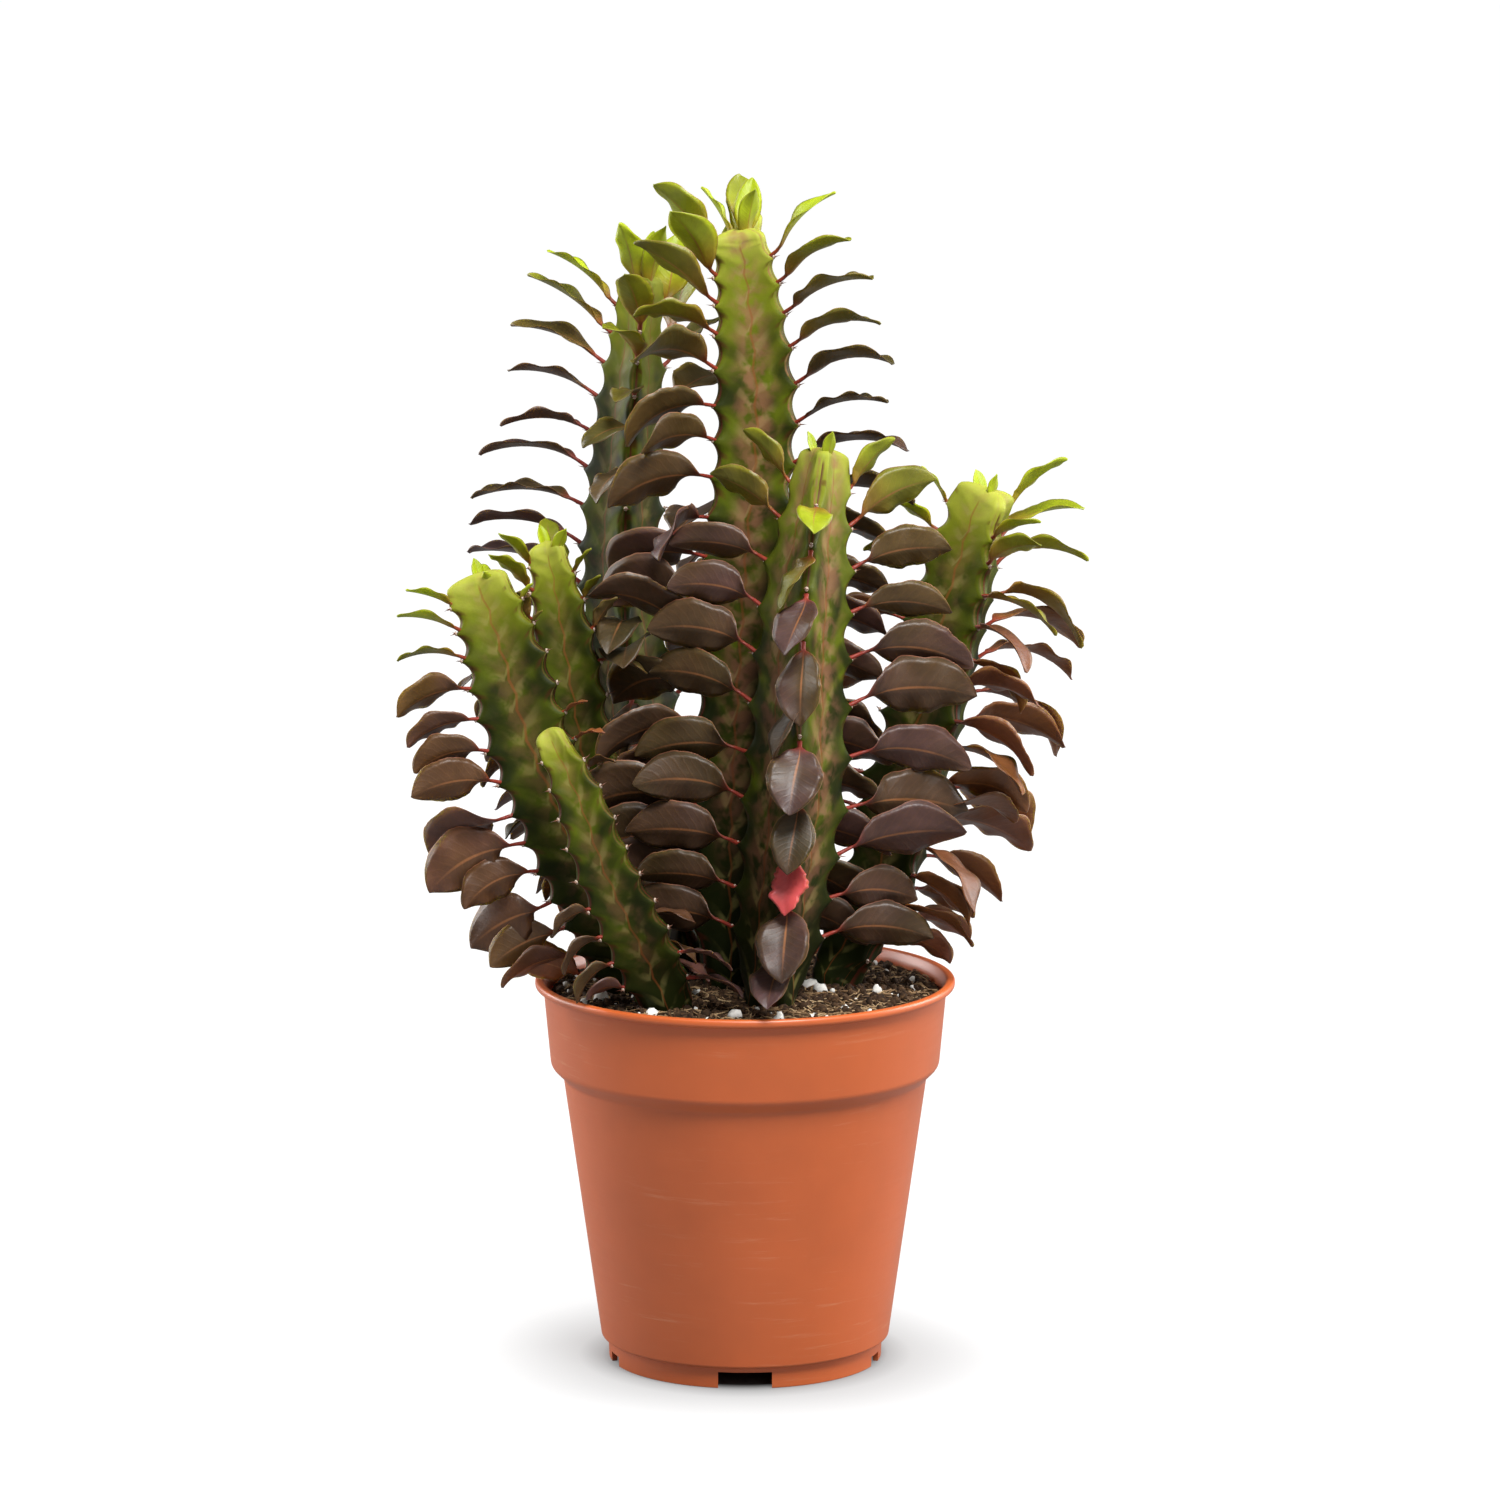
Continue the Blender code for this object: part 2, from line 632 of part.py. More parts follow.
def tree_of(points, faces):
    """A search tree and the bounds of a mesh."""
    low = Vector([min(point[k] for point in points) for k in range(3)])
    high = Vector([max(point[k] for point in points) for k in range(3)])
    return BVHTree.FromPolygons(points, faces), low, high


def meets(tested, other):
    """Whether two searched meshes cross."""
    if any(tested[1][k] > other[2][k] or other[1][k] > tested[2][k] for k in range(3)):
        return False
    return bool(tested[0].overlap(other[0]))


def over_pot(point):
    """Whether a point is clear above the soil and the lip."""
    if math.hypot(point.x, point.y) > BAND_TOP_RADIUS - 4 * MM:
        return point.z > POT_HEIGHT + 2.5 * MM
    return point.z > SOIL_LEVEL + 2.5 * MM


def in_reach(points):
    """Whether every point lies inside the plant's outer limits."""
    return all(REACH_LOW[k] < point[k] < REACH_HIGH[k] for point in points for k in (0, 1))


def bent_clear(leaf, own, others, placed):
    """The first bend of a leaf that crosses neither a stem, a leaf, the pot nor the soil."""
    for turn, lift, scale in BENDS:
        bent = dict(leaf, azimuth=leaf["azimuth"] + turn, rise=leaf["rise"] + lift,
                    length=leaf["length"] * scale, width=leaf["width"] * scale)
        points, faces = leaf_mesh(bent, CLEARANCE)
        middles = [points[i].lerp(points[i + 4], 0.5) for i in range(4, len(points) - 5)]
        if not in_reach(points) or not all(over_pot(point) for point in points + middles):
            continue
        whole = tree_of(points, faces)
        if any(meets(whole, tree) for tree in others + placed):
            continue
        if meets(tree_of(*leaf_mesh(bent, CLEARANCE, start=2)), own):
            continue
        return bent, whole
    return None, None


def place_leaves(stems):
    """Leaves for every stem, each bent clear of all that stands before it."""
    bodies = {stem.name: tree_of(*stem_body(stem)) for stem in stems}
    placed = []
    leaves = {}
    for stem_index, stem in enumerate(stems):
        others = [tree for name, tree in bodies.items() if name != stem.name]
        leaves[stem.name] = []
        wanted = apex_leaves(stem, stem_index)
        for tooth_index in range(len(stem.teeth)):
            for rib_index in range(3):
                wanted.append(leaf_rule(stem, stem_index, rib_index, tooth_index))
        for leaf in wanted:
            if leaf is None:
                continue
            bent, tree = bent_clear(leaf, bodies[stem.name], others, placed)
            if bent:
                placed.append(tree)
                leaves[stem.name].append(bent)
    return leaves


def build_stem(stem, leaves, parts, material):
    """One leafy stem: the bare body with its leaves joined to it."""
    body = mesh_object(stem.name, *stem_body(stem), parts, material)
    blades = new_collection(stem.name + "_leaves")
    for i, leaf in enumerate(leaves):
        mesh_object(f"leaf_{i}", *leaf_mesh(leaf), blades)
    add_boolean(body, blades, "UNION", "MANIFOLD")
    apply_modifiers(body)
    for blade in list(blades.objects):
        bpy.data.objects.remove(blade, do_unlink=True)
    bpy.data.collections.remove(blades)
    body.data.shade_smooth()
    body.data.set_sharp_from_angle(angle=math.radians(FACET_ANGLE))
    return body


# ---------------------------------------------------------------- the whole plant
def main():
    clear_scene()
    parts = new_collection("potted_euphorbia")
    build_pot(parts, new_material("terracotta_plastic", (0.55, 0.22, 0.12), 0.5))
    build_soil(parts, new_material("potting_soil", (0.06, 0.035, 0.02), 0.95))
    stems = [Stem(name) for name in STEMS]
    leaves = place_leaves(stems)
    for stem in stems:
        green = new_material(stem.name + "_green", (0.13, 0.17, 0.05), 0.5)
        build_stem(stem, leaves[stem.name], parts, green)
        print(stem.name, "teeth", len(stem.teeth), "leaves", len(leaves[stem.name]))


main()
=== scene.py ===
# %% [markdown]
# # A potted euphorbia
# This lesson dresses a plain model of a potted euphorbia. Seven succulent stems with
# three toothed wings each stand in a plastic nursery pot, with a leaf at nearly every tooth.
# The plain solids fix the sizes and places. Here each one gets its real surface: rolled and
# moulded plastic, crumbly peat, waxy marbled skin and thin leathery leaves.
#
# We start by loading the solids as a frame. Every later piece lies in the same metres.

import math
import random

import bmesh
import bpy
import numpy as np
from mathutils import Matrix, Vector, noise
from mathutils.bvhtree import BVHTree


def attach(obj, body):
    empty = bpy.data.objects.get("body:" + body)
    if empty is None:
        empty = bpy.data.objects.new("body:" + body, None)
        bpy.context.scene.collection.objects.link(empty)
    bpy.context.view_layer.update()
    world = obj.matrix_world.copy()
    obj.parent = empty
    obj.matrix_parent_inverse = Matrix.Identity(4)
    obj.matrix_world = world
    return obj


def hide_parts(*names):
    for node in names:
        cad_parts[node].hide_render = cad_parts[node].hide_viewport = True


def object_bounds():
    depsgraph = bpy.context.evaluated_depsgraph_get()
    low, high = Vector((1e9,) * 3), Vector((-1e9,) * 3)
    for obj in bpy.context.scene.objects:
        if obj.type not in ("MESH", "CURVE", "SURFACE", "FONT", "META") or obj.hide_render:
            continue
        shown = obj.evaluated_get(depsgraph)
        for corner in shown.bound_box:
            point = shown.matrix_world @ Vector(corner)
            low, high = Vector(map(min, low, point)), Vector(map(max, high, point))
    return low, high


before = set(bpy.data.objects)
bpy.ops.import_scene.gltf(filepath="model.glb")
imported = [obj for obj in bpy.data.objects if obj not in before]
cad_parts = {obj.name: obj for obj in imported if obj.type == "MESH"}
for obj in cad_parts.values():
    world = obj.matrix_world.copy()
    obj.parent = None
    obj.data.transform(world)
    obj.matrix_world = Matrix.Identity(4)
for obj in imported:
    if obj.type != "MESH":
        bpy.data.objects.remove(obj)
solid_box = [list(corner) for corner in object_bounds()]
MM = 0.001
UP = Vector((0.0, 0.0, 1.0))
TURN = 2.0 * math.pi
# about a full turn, for random draws
ANY_TURN = 6.3
print("nodes:", sorted(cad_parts))
print("box of the solids:", solid_box)

# %% [markdown]
# ## Shaders as sums
# A shader is a web of small nodes. A Wire is one value in that web, and plain arithmetic on
# wires makes Math nodes, so a mask reads like a sum. Raw node calls say the same at four times
# the length. The other helpers each make one node or one material.

# %% Wires
class Wire:
    """One value in a shader. Arithmetic on it makes Math nodes."""

    def __init__(self, socket):
        self.socket = socket
        self.tree = socket.id_data

    def math(self, operation, second=0.0, first=None):
        """The result of a Math node."""
        node = add(self.tree, "ShaderNodeMath", operation=operation)
        join(node.inputs[0], self if first is None else first)
        join(node.inputs[1], second)
        return wire(node)

    def __add__(self, other):
        return self.math("ADD", other)

    def __sub__(self, other):
        return self.math("SUBTRACT", other)

    def __rsub__(self, other):
        return self.math("SUBTRACT", self, other)

    def __mul__(self, other):
        return self.math("MULTIPLY", other)


def add(tree, kind, **settings):
    """A new node with some of its properties set."""
    node = tree.nodes.new(kind)
    for key, value in settings.items():
        setattr(node, key, value)
    return node


def wire(node, key=0):
    """A node's output as a wire."""
    return Wire(node.outputs[key])


def join(socket, value):
    """Link a socket to a wire, or set it to a plain value."""
    if isinstance(value, Wire):
        value.tree.links.new(value.socket, socket)
    elif socket.type == "RGBA":
        socket.default_value = (*value, 1.0)
    else:
        socket.default_value = value


def feed(node, **inputs):
    """Join a node's inputs by name, with _ for a space."""
    for key, value in inputs.items():
        join(node.inputs[key.replace("_", " ")], value)
    return node


print("wires ready, linked by", join.__name__, "and", feed.__name__)

# %% Node helpers
def between(value, low, high):
    """A value from 0 to 1, spread from low to high."""
    return wire(feed(add(value.tree, "ShaderNodeMapRange"), Value=value, To_Min=low, To_Max=high))


def scaled(colour, factor):
    """A colour times a number."""
    node = add(colour.tree, "ShaderNodeVectorMath", operation="SCALE")
    join(node.inputs[0], colour)
    return wire(feed(node, Scale=factor))


def ramp(value, stops):
    """A colour ramp through (place, colour) stops."""
    node = add(value.tree, "ShaderNodeValToRGB")
    join(node.inputs[0], value)
    marks = node.color_ramp.elements
    while len(marks) < len(stops):
        marks.new(0.5)
    for mark, (place, colour) in zip(marks, stops):
        mark.position = place
        mark.color = (*colour, 1.0)
    return wire(node)


def new_material(name):
    """A material with its tree, its Principled shader and its object coordinates."""
    material = bpy.data.materials.new(name)
    material.use_nodes = True
    tree = material.node_tree
    place = wire(add(tree, "ShaderNodeTexCoord"), "Object")
    return material, tree, tree.nodes["Principled BSDF"], place


def finish(shader, colour, rough, specular=0.5, inside=None):
    """Give a shader its colour, roughness and sheen, and the light inside soft matter."""
    feed(shader, Base_Color=colour, Roughness=rough, Specular_IOR_Level=specular)
    if inside:
        weight, radius, scale = inside
        feed(shader, Subsurface_Weight=weight, Subsurface_Radius=radius, Subsurface_Scale=scale)


print("node helpers:", between.__name__, scaled.__name__, ramp.__name__)

# %% [markdown]
# ## The studio
# A plant portrait is usually lit from all round, with the brightest light beside and a little
# behind the plant, so that leaves glow and a round pot shows two bright edges. Three large
# area lamps do this here, and a dim white world fills the shadows. The floor is one large
# pale disc that glows with painted light: white far off, with a painted shadow round the pot,
# and dimly lighting the plant from below. A sweep of paper could hide the horizon too, but a
# white world does it more simply.

# %% Floor and backdrop
FLOOR_SIZE = 14.0
FLOOR_BLEND = 2.5
# (distance from the pot's axis in metres, glow): no glow under the pot's foot and less near it, a
# painted shadow round the pot, and full far away as a white backdrop
FLOOR_PAINTED_GLOW = [(0.0, 0.0), (0.050, 0.0), (0.062, 0.56), (0.11, 0.91), (0.3, 0.97), (1.2, 1.0)]
# share of the painted glow that all rays but the camera's see: painted light on the plant from below
FLOOR_PAINTED_FILL = 0.26


def floor_material():
    """Matt white paint with painted light: a glow, white far off, fading to none at the pot's foot as a
    painted shadow, and dimmer to all rays but the camera's, so that it lights the plant from below.
    """
    material, tree, shader, place = new_material("studio_floor")
    finish(shader, (0.10, 0.10, 0.10), 0.8, 0.1)
    length = add(tree, "ShaderNodeVectorMath", operation="LENGTH")
    join(length.inputs[0], place)
    spread = feed(add(tree, "ShaderNodeMapRange"), Value=wire(length, "Value"), From_Max=FLOOR_BLEND)
    # painted glow: a painted shadow near the pot, white far off, and fainter painted light for other
    # rays
    glow = ramp(wire(spread), [(out / FLOOR_BLEND, (level,) * 3) for out, level in FLOOR_PAINTED_GLOW])
    seen = wire(add(tree, "ShaderNodeLightPath"), "Is Camera Ray")
    feed(shader, Emission_Strength=1.0, Emission_Color=scaled(glow, between(seen, FLOOR_PAINTED_FILL, 1.0)))
    return material


bpy.ops.mesh.primitive_circle_add(vertices=96, radius=FLOOR_SIZE, fill_type="NGON", location=(0, 0, 0))
floor = bpy.context.object
floor.name = "studio_floor"
floor.data.materials.append(floor_material())
print("floor radius:", FLOOR_SIZE)

# %% World and lamps
WORLD_SEEN = 1.0
WORLD_FILL = 0.09
LAMPS = {
    # name: (place, size in metres, watts)
    "left_box": ((-1.7, 0.8, 0.8), 1.4, 46.0),
    "right_box": ((1.8, 0.7, 0.9), 1.4, 47.0),
    "top_box": ((0.5, -1.2, 2.1), 0.9, 80.0),
    "front_box": ((0.9, -2.6, 1.2), 1.2, 8.0),
}
AIM = Vector((0.0, 0.0, 0.22))


def build_world():
    """White as seen, dimmer as a light."""
    world = bpy.data.worlds.new("white_studio")
    world.use_nodes = True
    tree = world.node_tree
    tree.nodes.clear()
    mix = add(tree, "ShaderNodeMixShader")
    join(mix.inputs[0], wire(add(tree, "ShaderNodeLightPath"), "Is Camera Ray"))
    for index, strength in ((1, WORLD_FILL), (2, WORLD_SEEN)):
        white = feed(add(tree, "ShaderNodeBackground"), Color=(1.0, 1.0, 1.0), Strength=strength)
        join(mix.inputs[index], wire(white))
    feed(add(tree, "ShaderNodeOutputWorld"), Surface=wire(mix))
    bpy.context.scene.world = world


def build_lamps():
    """Square area lamps that face the plant."""
    for name, (place, size, watts) in LAMPS.items():
        data = bpy.data.lights.new(name, "AREA")
        data.size = size
        data.energy = watts
        lamp = bpy.data.objects.new(name, data)
        lamp.location = place
        lamp.rotation_euler = (AIM - Vector(place)).to_track_quat("-Z", "Y").to_euler()
        bpy.context.scene.collection.objects.link(lamp)


build_world()
build_lamps()
bpy.context.scene.view_settings.view_transform = "Standard"
print("lamps:", ", ".join(LAMPS))

# %% [markdown]
# ## The camera
# A long lens from a little above the plant keeps the stems upright and shows a narrow ellipse
# of soil. The lens and height below come from how the pot's round edges flatten with height.

# %% Camera
CAMERA_PLACE = (0.002, -2.6, 0.696)
CAMERA_PITCH = 9.71
CAMERA_LENS = 156.7

camera_data = bpy.data.cameras.new("portrait_camera")
camera_data.lens = CAMERA_LENS
camera_data.sensor_width = 36.0
camera = bpy.data.objects.new("portrait_camera", camera_data)
camera.location = CAMERA_PLACE
camera.rotation_euler = (math.radians(90.0 - CAMERA_PITCH), 0.0, 0.0)
bpy.context.scene.collection.objects.link(camera)
bpy.context.scene.camera = camera
print("camera at", CAMERA_PLACE)

# %% [markdown]
# ## How the plant grows
# Each stem is a short list of points, a few four-value rules from base to tip, and one rule
# for each of its three wings. The same numbers made the solids, so a fine stem drawn from
# them lies on its solid. Rules are easier to read and change than a few thousand points.

# %% Stems and their wings
PEG_RADIUS = 0.0105
PEG_BOTTOM_Z = 0.1230
SOIL_LEVEL = 0.1547
CREST_HALF = 0.00125
VALLEY = 0.40
TOOTH_DEPTH = 0.21
COLLAR = 0.022
PATH_STEPS = 8
DIRECTION_STEP = 0.004
TIP_RISE = 0.004
# how far up its first stretch the lowest tooth stands, and how far under the tip the last one
FIRST_TOOTH = 0.45
LAST_TOOTH = 2 * MM
# millimetres by which a crest is thicker where it runs into the round foot
CREST_FLARE = 2.5
# degrees from a wing to the valley after it
TO_VALLEY = 60.0

# heights along a stem, as fractions, at which its four-value rules are given
RULE_HEIGHTS = (0.0, 0.4, 0.8, 1.0)


def rib(azimuth, turn, face, rise, bend, length, leafy=(0.06, 1.0), keep=1.0, phase=0.0, loose=1.0,
        broad=1.0):
    """One wing of a stem and the rule for its leaves, each four-value rule from base to tip."""
    return {"azimuth": azimuth, "turn": turn, "face": face, "rise": rise, "bend": bend, "length": length,
            "leafy": leafy, "keep": keep, "phase": phase, "loose": loose, "broad": broad}


STEMS = {
    "stem_front": {
        "path": [(10, -33, 155), (15, -44, 199), (20, -47, 244),
                 (22, -43, 291), (25, -38, 331), (31, -32, 374)],
        "wing": (20, 25, 21, 11), "pitch": (17, 21, 17, 9), "apex": (2, 16), "twist": -6,
        "ribs": [
            rib(4, -16, (0, 0, 0, 0), (-42, -42, -38, 20), (36, 38, 42, 40), (47, 36, 33, 22),
                leafy=(0.1, 1.0), phase=0.5, loose=1.7, broad=1.36),
            rib(120, -18, (75, 75, 75, 50), (14, 18, 28, 70), (36, 38, 45, 30), (48, 50, 46, 25)),
            rib(-120, 20, (75, 75, 75, 50), (16, 18, 30, 72), (36, 40, 45, 30), (46, 48, 42, 23)),
        ]},
    "stem_tallest": {
        "path": [(-7, 2, 156), (-7, 4, 212), (-4, 7, 273), (0, 9, 333),
                 (4, 10, 381), (2, 8, 426), (-2, 5, 458)],
        "wing": (17, 19.5, 20.5, 13.5), "pitch": (16, 17, 15, 9), "apex": (3, 27), "twist": -8,
        "ribs": [
            rib(-50, -14, (60, 60, 50, 30), (8, 10, 20, 75), (70, 70, 65, 25), (46, 50, 44, 34),
                loose=1.5, broad=1.2),
            rib(66, 12, (60, 55, 8, 0), (5, 15, 36, 68), (60, 55, 55, 40), (48, 52, 46, 36),
                phase=0.5),
            rib(184, 20, (30, 30, 30, 0), (15, 22, 35, 75), (50, 45, 45, 30), (52, 58, 46, 30),
                keep=0.6),
        ]},
    "stem_tall_left": {
        "path": [(-20, 34, 156), (-33, 41, 202), (-46, 39, 264),
                 (-50, 31, 323), (-46, 21, 385), (-41, 14, 438)],
        "wing": (18, 22, 18, 9), "pitch": (17, 17, 15, 9), "apex": (4, 30), "twist": 4,
        "ribs": [
            rib(0, -26, (0, 0, 0, 0), (0, 0, 20, 74), (80, 80, 70, 20), (42, 46, 32, 30),
                keep=0.75, phase=0.5, loose=2.0),
            rib(120, 12, (30, 30, 40, 20), (15, 20, 30, 72), (40, 36, 45, 30), (52, 54, 42, 30),
                keep=0.9, loose=2.4, broad=1.15),
            rib(-118, 20, (30, 8, 6, 0), (10, 20, 34, 60), (55, 56, 60, 30), (44, 52, 44, 38)),
        ]},
    "stem_right": {
        "path": [(37, 5, 155), (56, 12, 191), (67, 16, 228), (77, 16, 265),
                 (86, 14, 306), (94, 12, 339), (99, 10, 352)],
        "wing": (17, 22, 21, 14), "pitch": (13, 13.5, 13, 8), "apex": (2, 13), "twist": 0,
        "ribs": [
            rib(24, 34, (40, 40, 30, 0), (0, 4, 16, 62), (70, 75, 75, 25), (32, 46, 38, 20),
                keep=0.9, phase=0.5, loose=1.7),
            rib(140, -44, (40, 40, 20, 0), (-20, 0, 14, 56), (50, 62, 75, 30), (26, 52, 52, 34),
                keep=0.8, loose=1.3),
            rib(-98, 10, (60, 60, 50, 20), (10, 15, 25, 72), (60, 55, 50, 20), (42, 44, 34, 15),
                keep=0.85, loose=1.3),
        ]},
    "stem_outer_left": {
        "path": [(-46, -6, 155), (-58, -25, 192), (-74, -33, 233),
                 (-86, -35, 263), (-94, -34, 291), (-105, -30, 324)],
        "wing": (16, 21, 20, 15), "pitch": (12.5, 13, 12, 8), "apex": (2, 12), "twist": 0,
        "ribs": [
            rib(-62, -18, (70, 68, 40, 0), (-22, -8, 15, 50), (44, 50, 55, 25), (26, 41, 34, 17),
                loose=1.7, broad=1.2),
            rib(60, -4, (10, 10, 10, 0), (20, 25, 50, 60), (70, 60, 30, 10), (26, 20, 9, 7),
                keep=0.6, phase=0.5),
            rib(180, 34, (45, 45, 30, 0), (-10, 0, 22, 58), (50, 60, 55, 25), (24, 40, 34, 15),
                keep=0.75, loose=1.5),
        ]},
    "stem_short": {
        "path": [(-31, -36, 155), (-45, -54, 190), (-56, -63, 216), (-64, -66, 240), (-76, -64, 267)],
        "wing": (16, 15, 11.5, 7), "pitch": (13, 13, 12, 8), "apex": (0, 0), "twist": 0,
        "ribs": [
            rib(-60, -6, (50, 50, 30, 0), (-5, 0, 20, 40), (80, 60, 20, 10), (38, 20, 10, 8),
                leafy=(0.05, 0.55), broad=1.3),
            rib(62, 0, (10, 10, 10, 0), (10, 10, 20, 40), (90, 80, 20, 10), (28, 16, 10, 8),
                leafy=(0.05, 0.3), phase=0.5),
            rib(180, 0, (0, 0, 0, 0), (20, 30, 20, 40), (30, 30, 20, 10), (20, 14, 10, 8),
                leafy=(0.05, 0.4), keep=0.3),
        ]},
    "stem_inner_left": {
        "path": [(-49, 28, 155), (-56, 19, 195), (-63, 8, 232),
                 (-69, -1, 270), (-74, -4, 303), (-79, -5, 333)],
        "wing": (14, 17, 16, 9), "pitch": (14, 14, 13, 8), "apex": (2, 15), "twist": 0,
        "ribs": [
            rib(-55, -6, (30, 30, 20, 0), (20, 20, 40, 65), (60, 60, 45, 25), (30, 28, 22, 24),
                keep=0.7),
            rib(60, -10, (30, 30, 20, 0), (15, 20, 40, 65), (60, 60, 40, 20), (28, 30, 18, 14),
                keep=0.7, phase=0.5),
            rib(180, 10, (0, 0, 0, 0), (15, 20, 35, 65), (50, 50, 45, 25), (44, 46, 30, 20), keep=0.3),
        ]},
}

print("stems:", len(STEMS))

# %% [markdown]
# ## From rules to places
# A stem's path is a smooth curve through its points. At any distance along it we want its
# direction, the reach of its wings and how far a toothed edge stands out there. The teeth
# stand closer together towards the tip, as the growth of each season was shorter.

# %% Smooth steps and rules
def smooth(value):
    """0 to 1 with level ends."""
    value = min(max(value, 0.0), 1.0)
    return value * value * (3.0 - 2.0 * value)


def rule(values, height):
    """A four-value rule at a fraction of the stem's height."""
    return float(np.interp(height, RULE_HEIGHTS, values))


def outward(azimuth):
    """The level direction at an azimuth in degrees."""
    angle = math.radians(azimuth)
    return Vector((math.sin(angle), -math.cos(angle), 0.0))


print("a third of the way, smoothed:", round(smooth(1.0 / 3.0), 3))

# %% A stem's path, wings and teeth
class Stem:
    """The smooth path, wings and teeth of one stem."""

    def __init__(self, name):
        spec = STEMS[name]
        self.name = name
        self.spec = spec
        points = [Vector(point) * MM for point in spec["path"]]
        points = [2 * points[0] - points[1], *points, 2 * points[-1] - points[-2]]
        line = []
        for p0, p1, p2, p3 in zip(points, points[1:], points[2:], points[3:]):
            for i in range(PATH_STEPS):
                t = i / PATH_STEPS
                line.append(0.5 * (2 * p1 + (p2 - p0) * t + (2 * p0 - 5 * p1 + 4 * p2 - p3) * t ** 2
                                   + (3 * p1 - p0 - 3 * p2 + p3) * t ** 3))
        line.append(points[-2])
        self.coords = np.array(line)
        self.runs = [0.0]
        for a, b in zip(line, line[1:]):
            self.runs.append(self.runs[-1] + (b - a).length)
        self.length = self.runs[-1]
        self.teeth = self.tooth_heights()

    def point(self, run):
        """The middle of the stem at a distance along it."""
        return Vector([float(np.interp(run, self.runs, self.coords[:, k])) for k in range(3)])

    def place(self, run):
        """Point and direction at a distance along the stem."""
        low = max(run - DIRECTION_STEP, 0.0)
        high = min(run + DIRECTION_STEP, self.length)
        return self.point(run), (self.point(high) - self.point(low)).normalized()

    def tooth_heights(self):
        """Distances along the stem of its teeth, closer together towards the tip."""
        run = FIRST_TOOTH * self.spec["pitch"][0] * MM
        runs = []
        while run < self.length - LAST_TOOTH:
            runs.append(run)
            run += rule(self.spec["pitch"], run / self.length) * MM
        return runs

    def radial(self, run, azimuth):
        """The direction square to the stem that faces an azimuth."""
        _, along = self.place(run)
        twisted = azimuth + self.spec["twist"] * run / self.length
        front = outward(0.0)
        front = (front - front.dot(along) * along).normalized()
        right = along.cross(front)
        angle = math.radians(twisted)
        return front * math.cos(angle) + right * math.sin(angle)

    def margin(self, run, phase):
        """How far a wing's toothed edge stands out at this height, as a share of the full wing."""
        marks = self.teeth
        index = int(np.searchsorted(marks, run, side="right")) - 1
        low = marks[max(index, 0)]
        high = marks[min(index + 1, len(marks) - 1)]
        share = (run - low) / (high - low) if high > low else 0.0
        return 1.0 - TOOTH_DEPTH * abs(math.sin(math.pi * (share + phase)))

    def wing(self, run):
        """The full reach of the wings at this height."""
        return rule(self.spec["wing"], run / self.length) * MM

    def out_from(self, run, reach):
        """A reach at this height, drawn in to the round foot near the soil."""
        return PEG_RADIUS + (reach - PEG_RADIUS) * smooth(run / COLLAR)

    def section(self, run):
        """Nine points round the stem: two on each crest and one in each valley."""
        here, _ = self.place(run)
        reach = self.wing(run)
        winged = smooth(run / COLLAR)
        points = []
        for one in self.spec["ribs"]:
            crest = self.out_from(run, reach * self.margin(run, one["phase"]))
            valley = self.out_from(run, reach * VALLEY)
            half = CREST_HALF + (1 - winged) * CREST_FLARE * MM
            spread = math.degrees(math.asin(min(1.0, half / crest)))
            points.append(here + crest * self.radial(run, one["azimuth"] - spread))
            points.append(here + crest * self.radial(run, one["azimuth"] + spread))
            points.append(here + valley * self.radial(run, one["azimuth"] + TO_VALLEY))
        return points

    def tooth(self, rib_index, tooth_index):
        """Where a wing's tooth stands: its distance along the stem."""
        one = self.spec["ribs"][rib_index]
        run = self.teeth[tooth_index]
        if one["phase"]:
            nxt = tooth_index + 1
            run = 0.5 * (run + self.teeth[nxt]) if nxt < len(self.teeth) else None
        return run


stems = [Stem(name) for name in STEMS]
print("teeth:", {stem.name: len(stem.teeth) for stem in stems})

# %% [markdown]
# ## Where each leaf lies
# A leaf leaves its tooth straight, turns, and bends down under its own weight. Each one takes
# seeded draws round its wing's rule. It is then tried against the stems, the leaves before
# it, the pot and the soil, and bent until it is clear, as leaves slide past each other when
# they grow. A coarse copy of each leaf and stem is enough for that test, and quick.

# %% Leaf constants
LEAF_STEPS = 14
# where a coarse leaf has its cross-sections, as shares of its length
LEAF_STATIONS = (0.0, 0.21, 0.50, 0.82, 1.0)
SHORT_LEAF = 0.041
SHORT_STATIONS = (0.0, 0.27, 0.66, 1.0)
PETIOLE = 0.15
PETIOLE_HALF = 0.00085
BLADE_HALF_THICKNESS = 0.0005
BLADE_FOLD = 0.26
BLADE_ASPECT = 0.44
BLADE_POINT = 0.72
BLADE_WIDEST = 0.3106
# shares of a leaf's length over which it leaves its tooth, starts to bend, and turns
RISE_SHARE = 0.25
BEND_FROM = 0.1
STRAIGHT_SHARE = 0.1
TURN_SHARE = 0.3
ROOT_SINK = 0.0034
CLEARANCE = 0.0005
POT_CLEARANCE = 2.5 * MM
LEAF_SEED = 41
# degrees by which headings, rises, rolls and sways differ, and the spread of bends and sizes
HEADING_DRAW, RISE_DRAW, ROLL_DRAW, SWAY_DRAW = 10, 8, 14, 16
BEND_DRAW, LENGTH_DRAW, WIDTH_DRAW = (0.75, 1.25), (0.86, 1.12), (0.9, 1.1)
CROWN = 0.85
STALK_RISE = 30.0
APEX_SINK = 0.006
APEX_RISE = 82.0
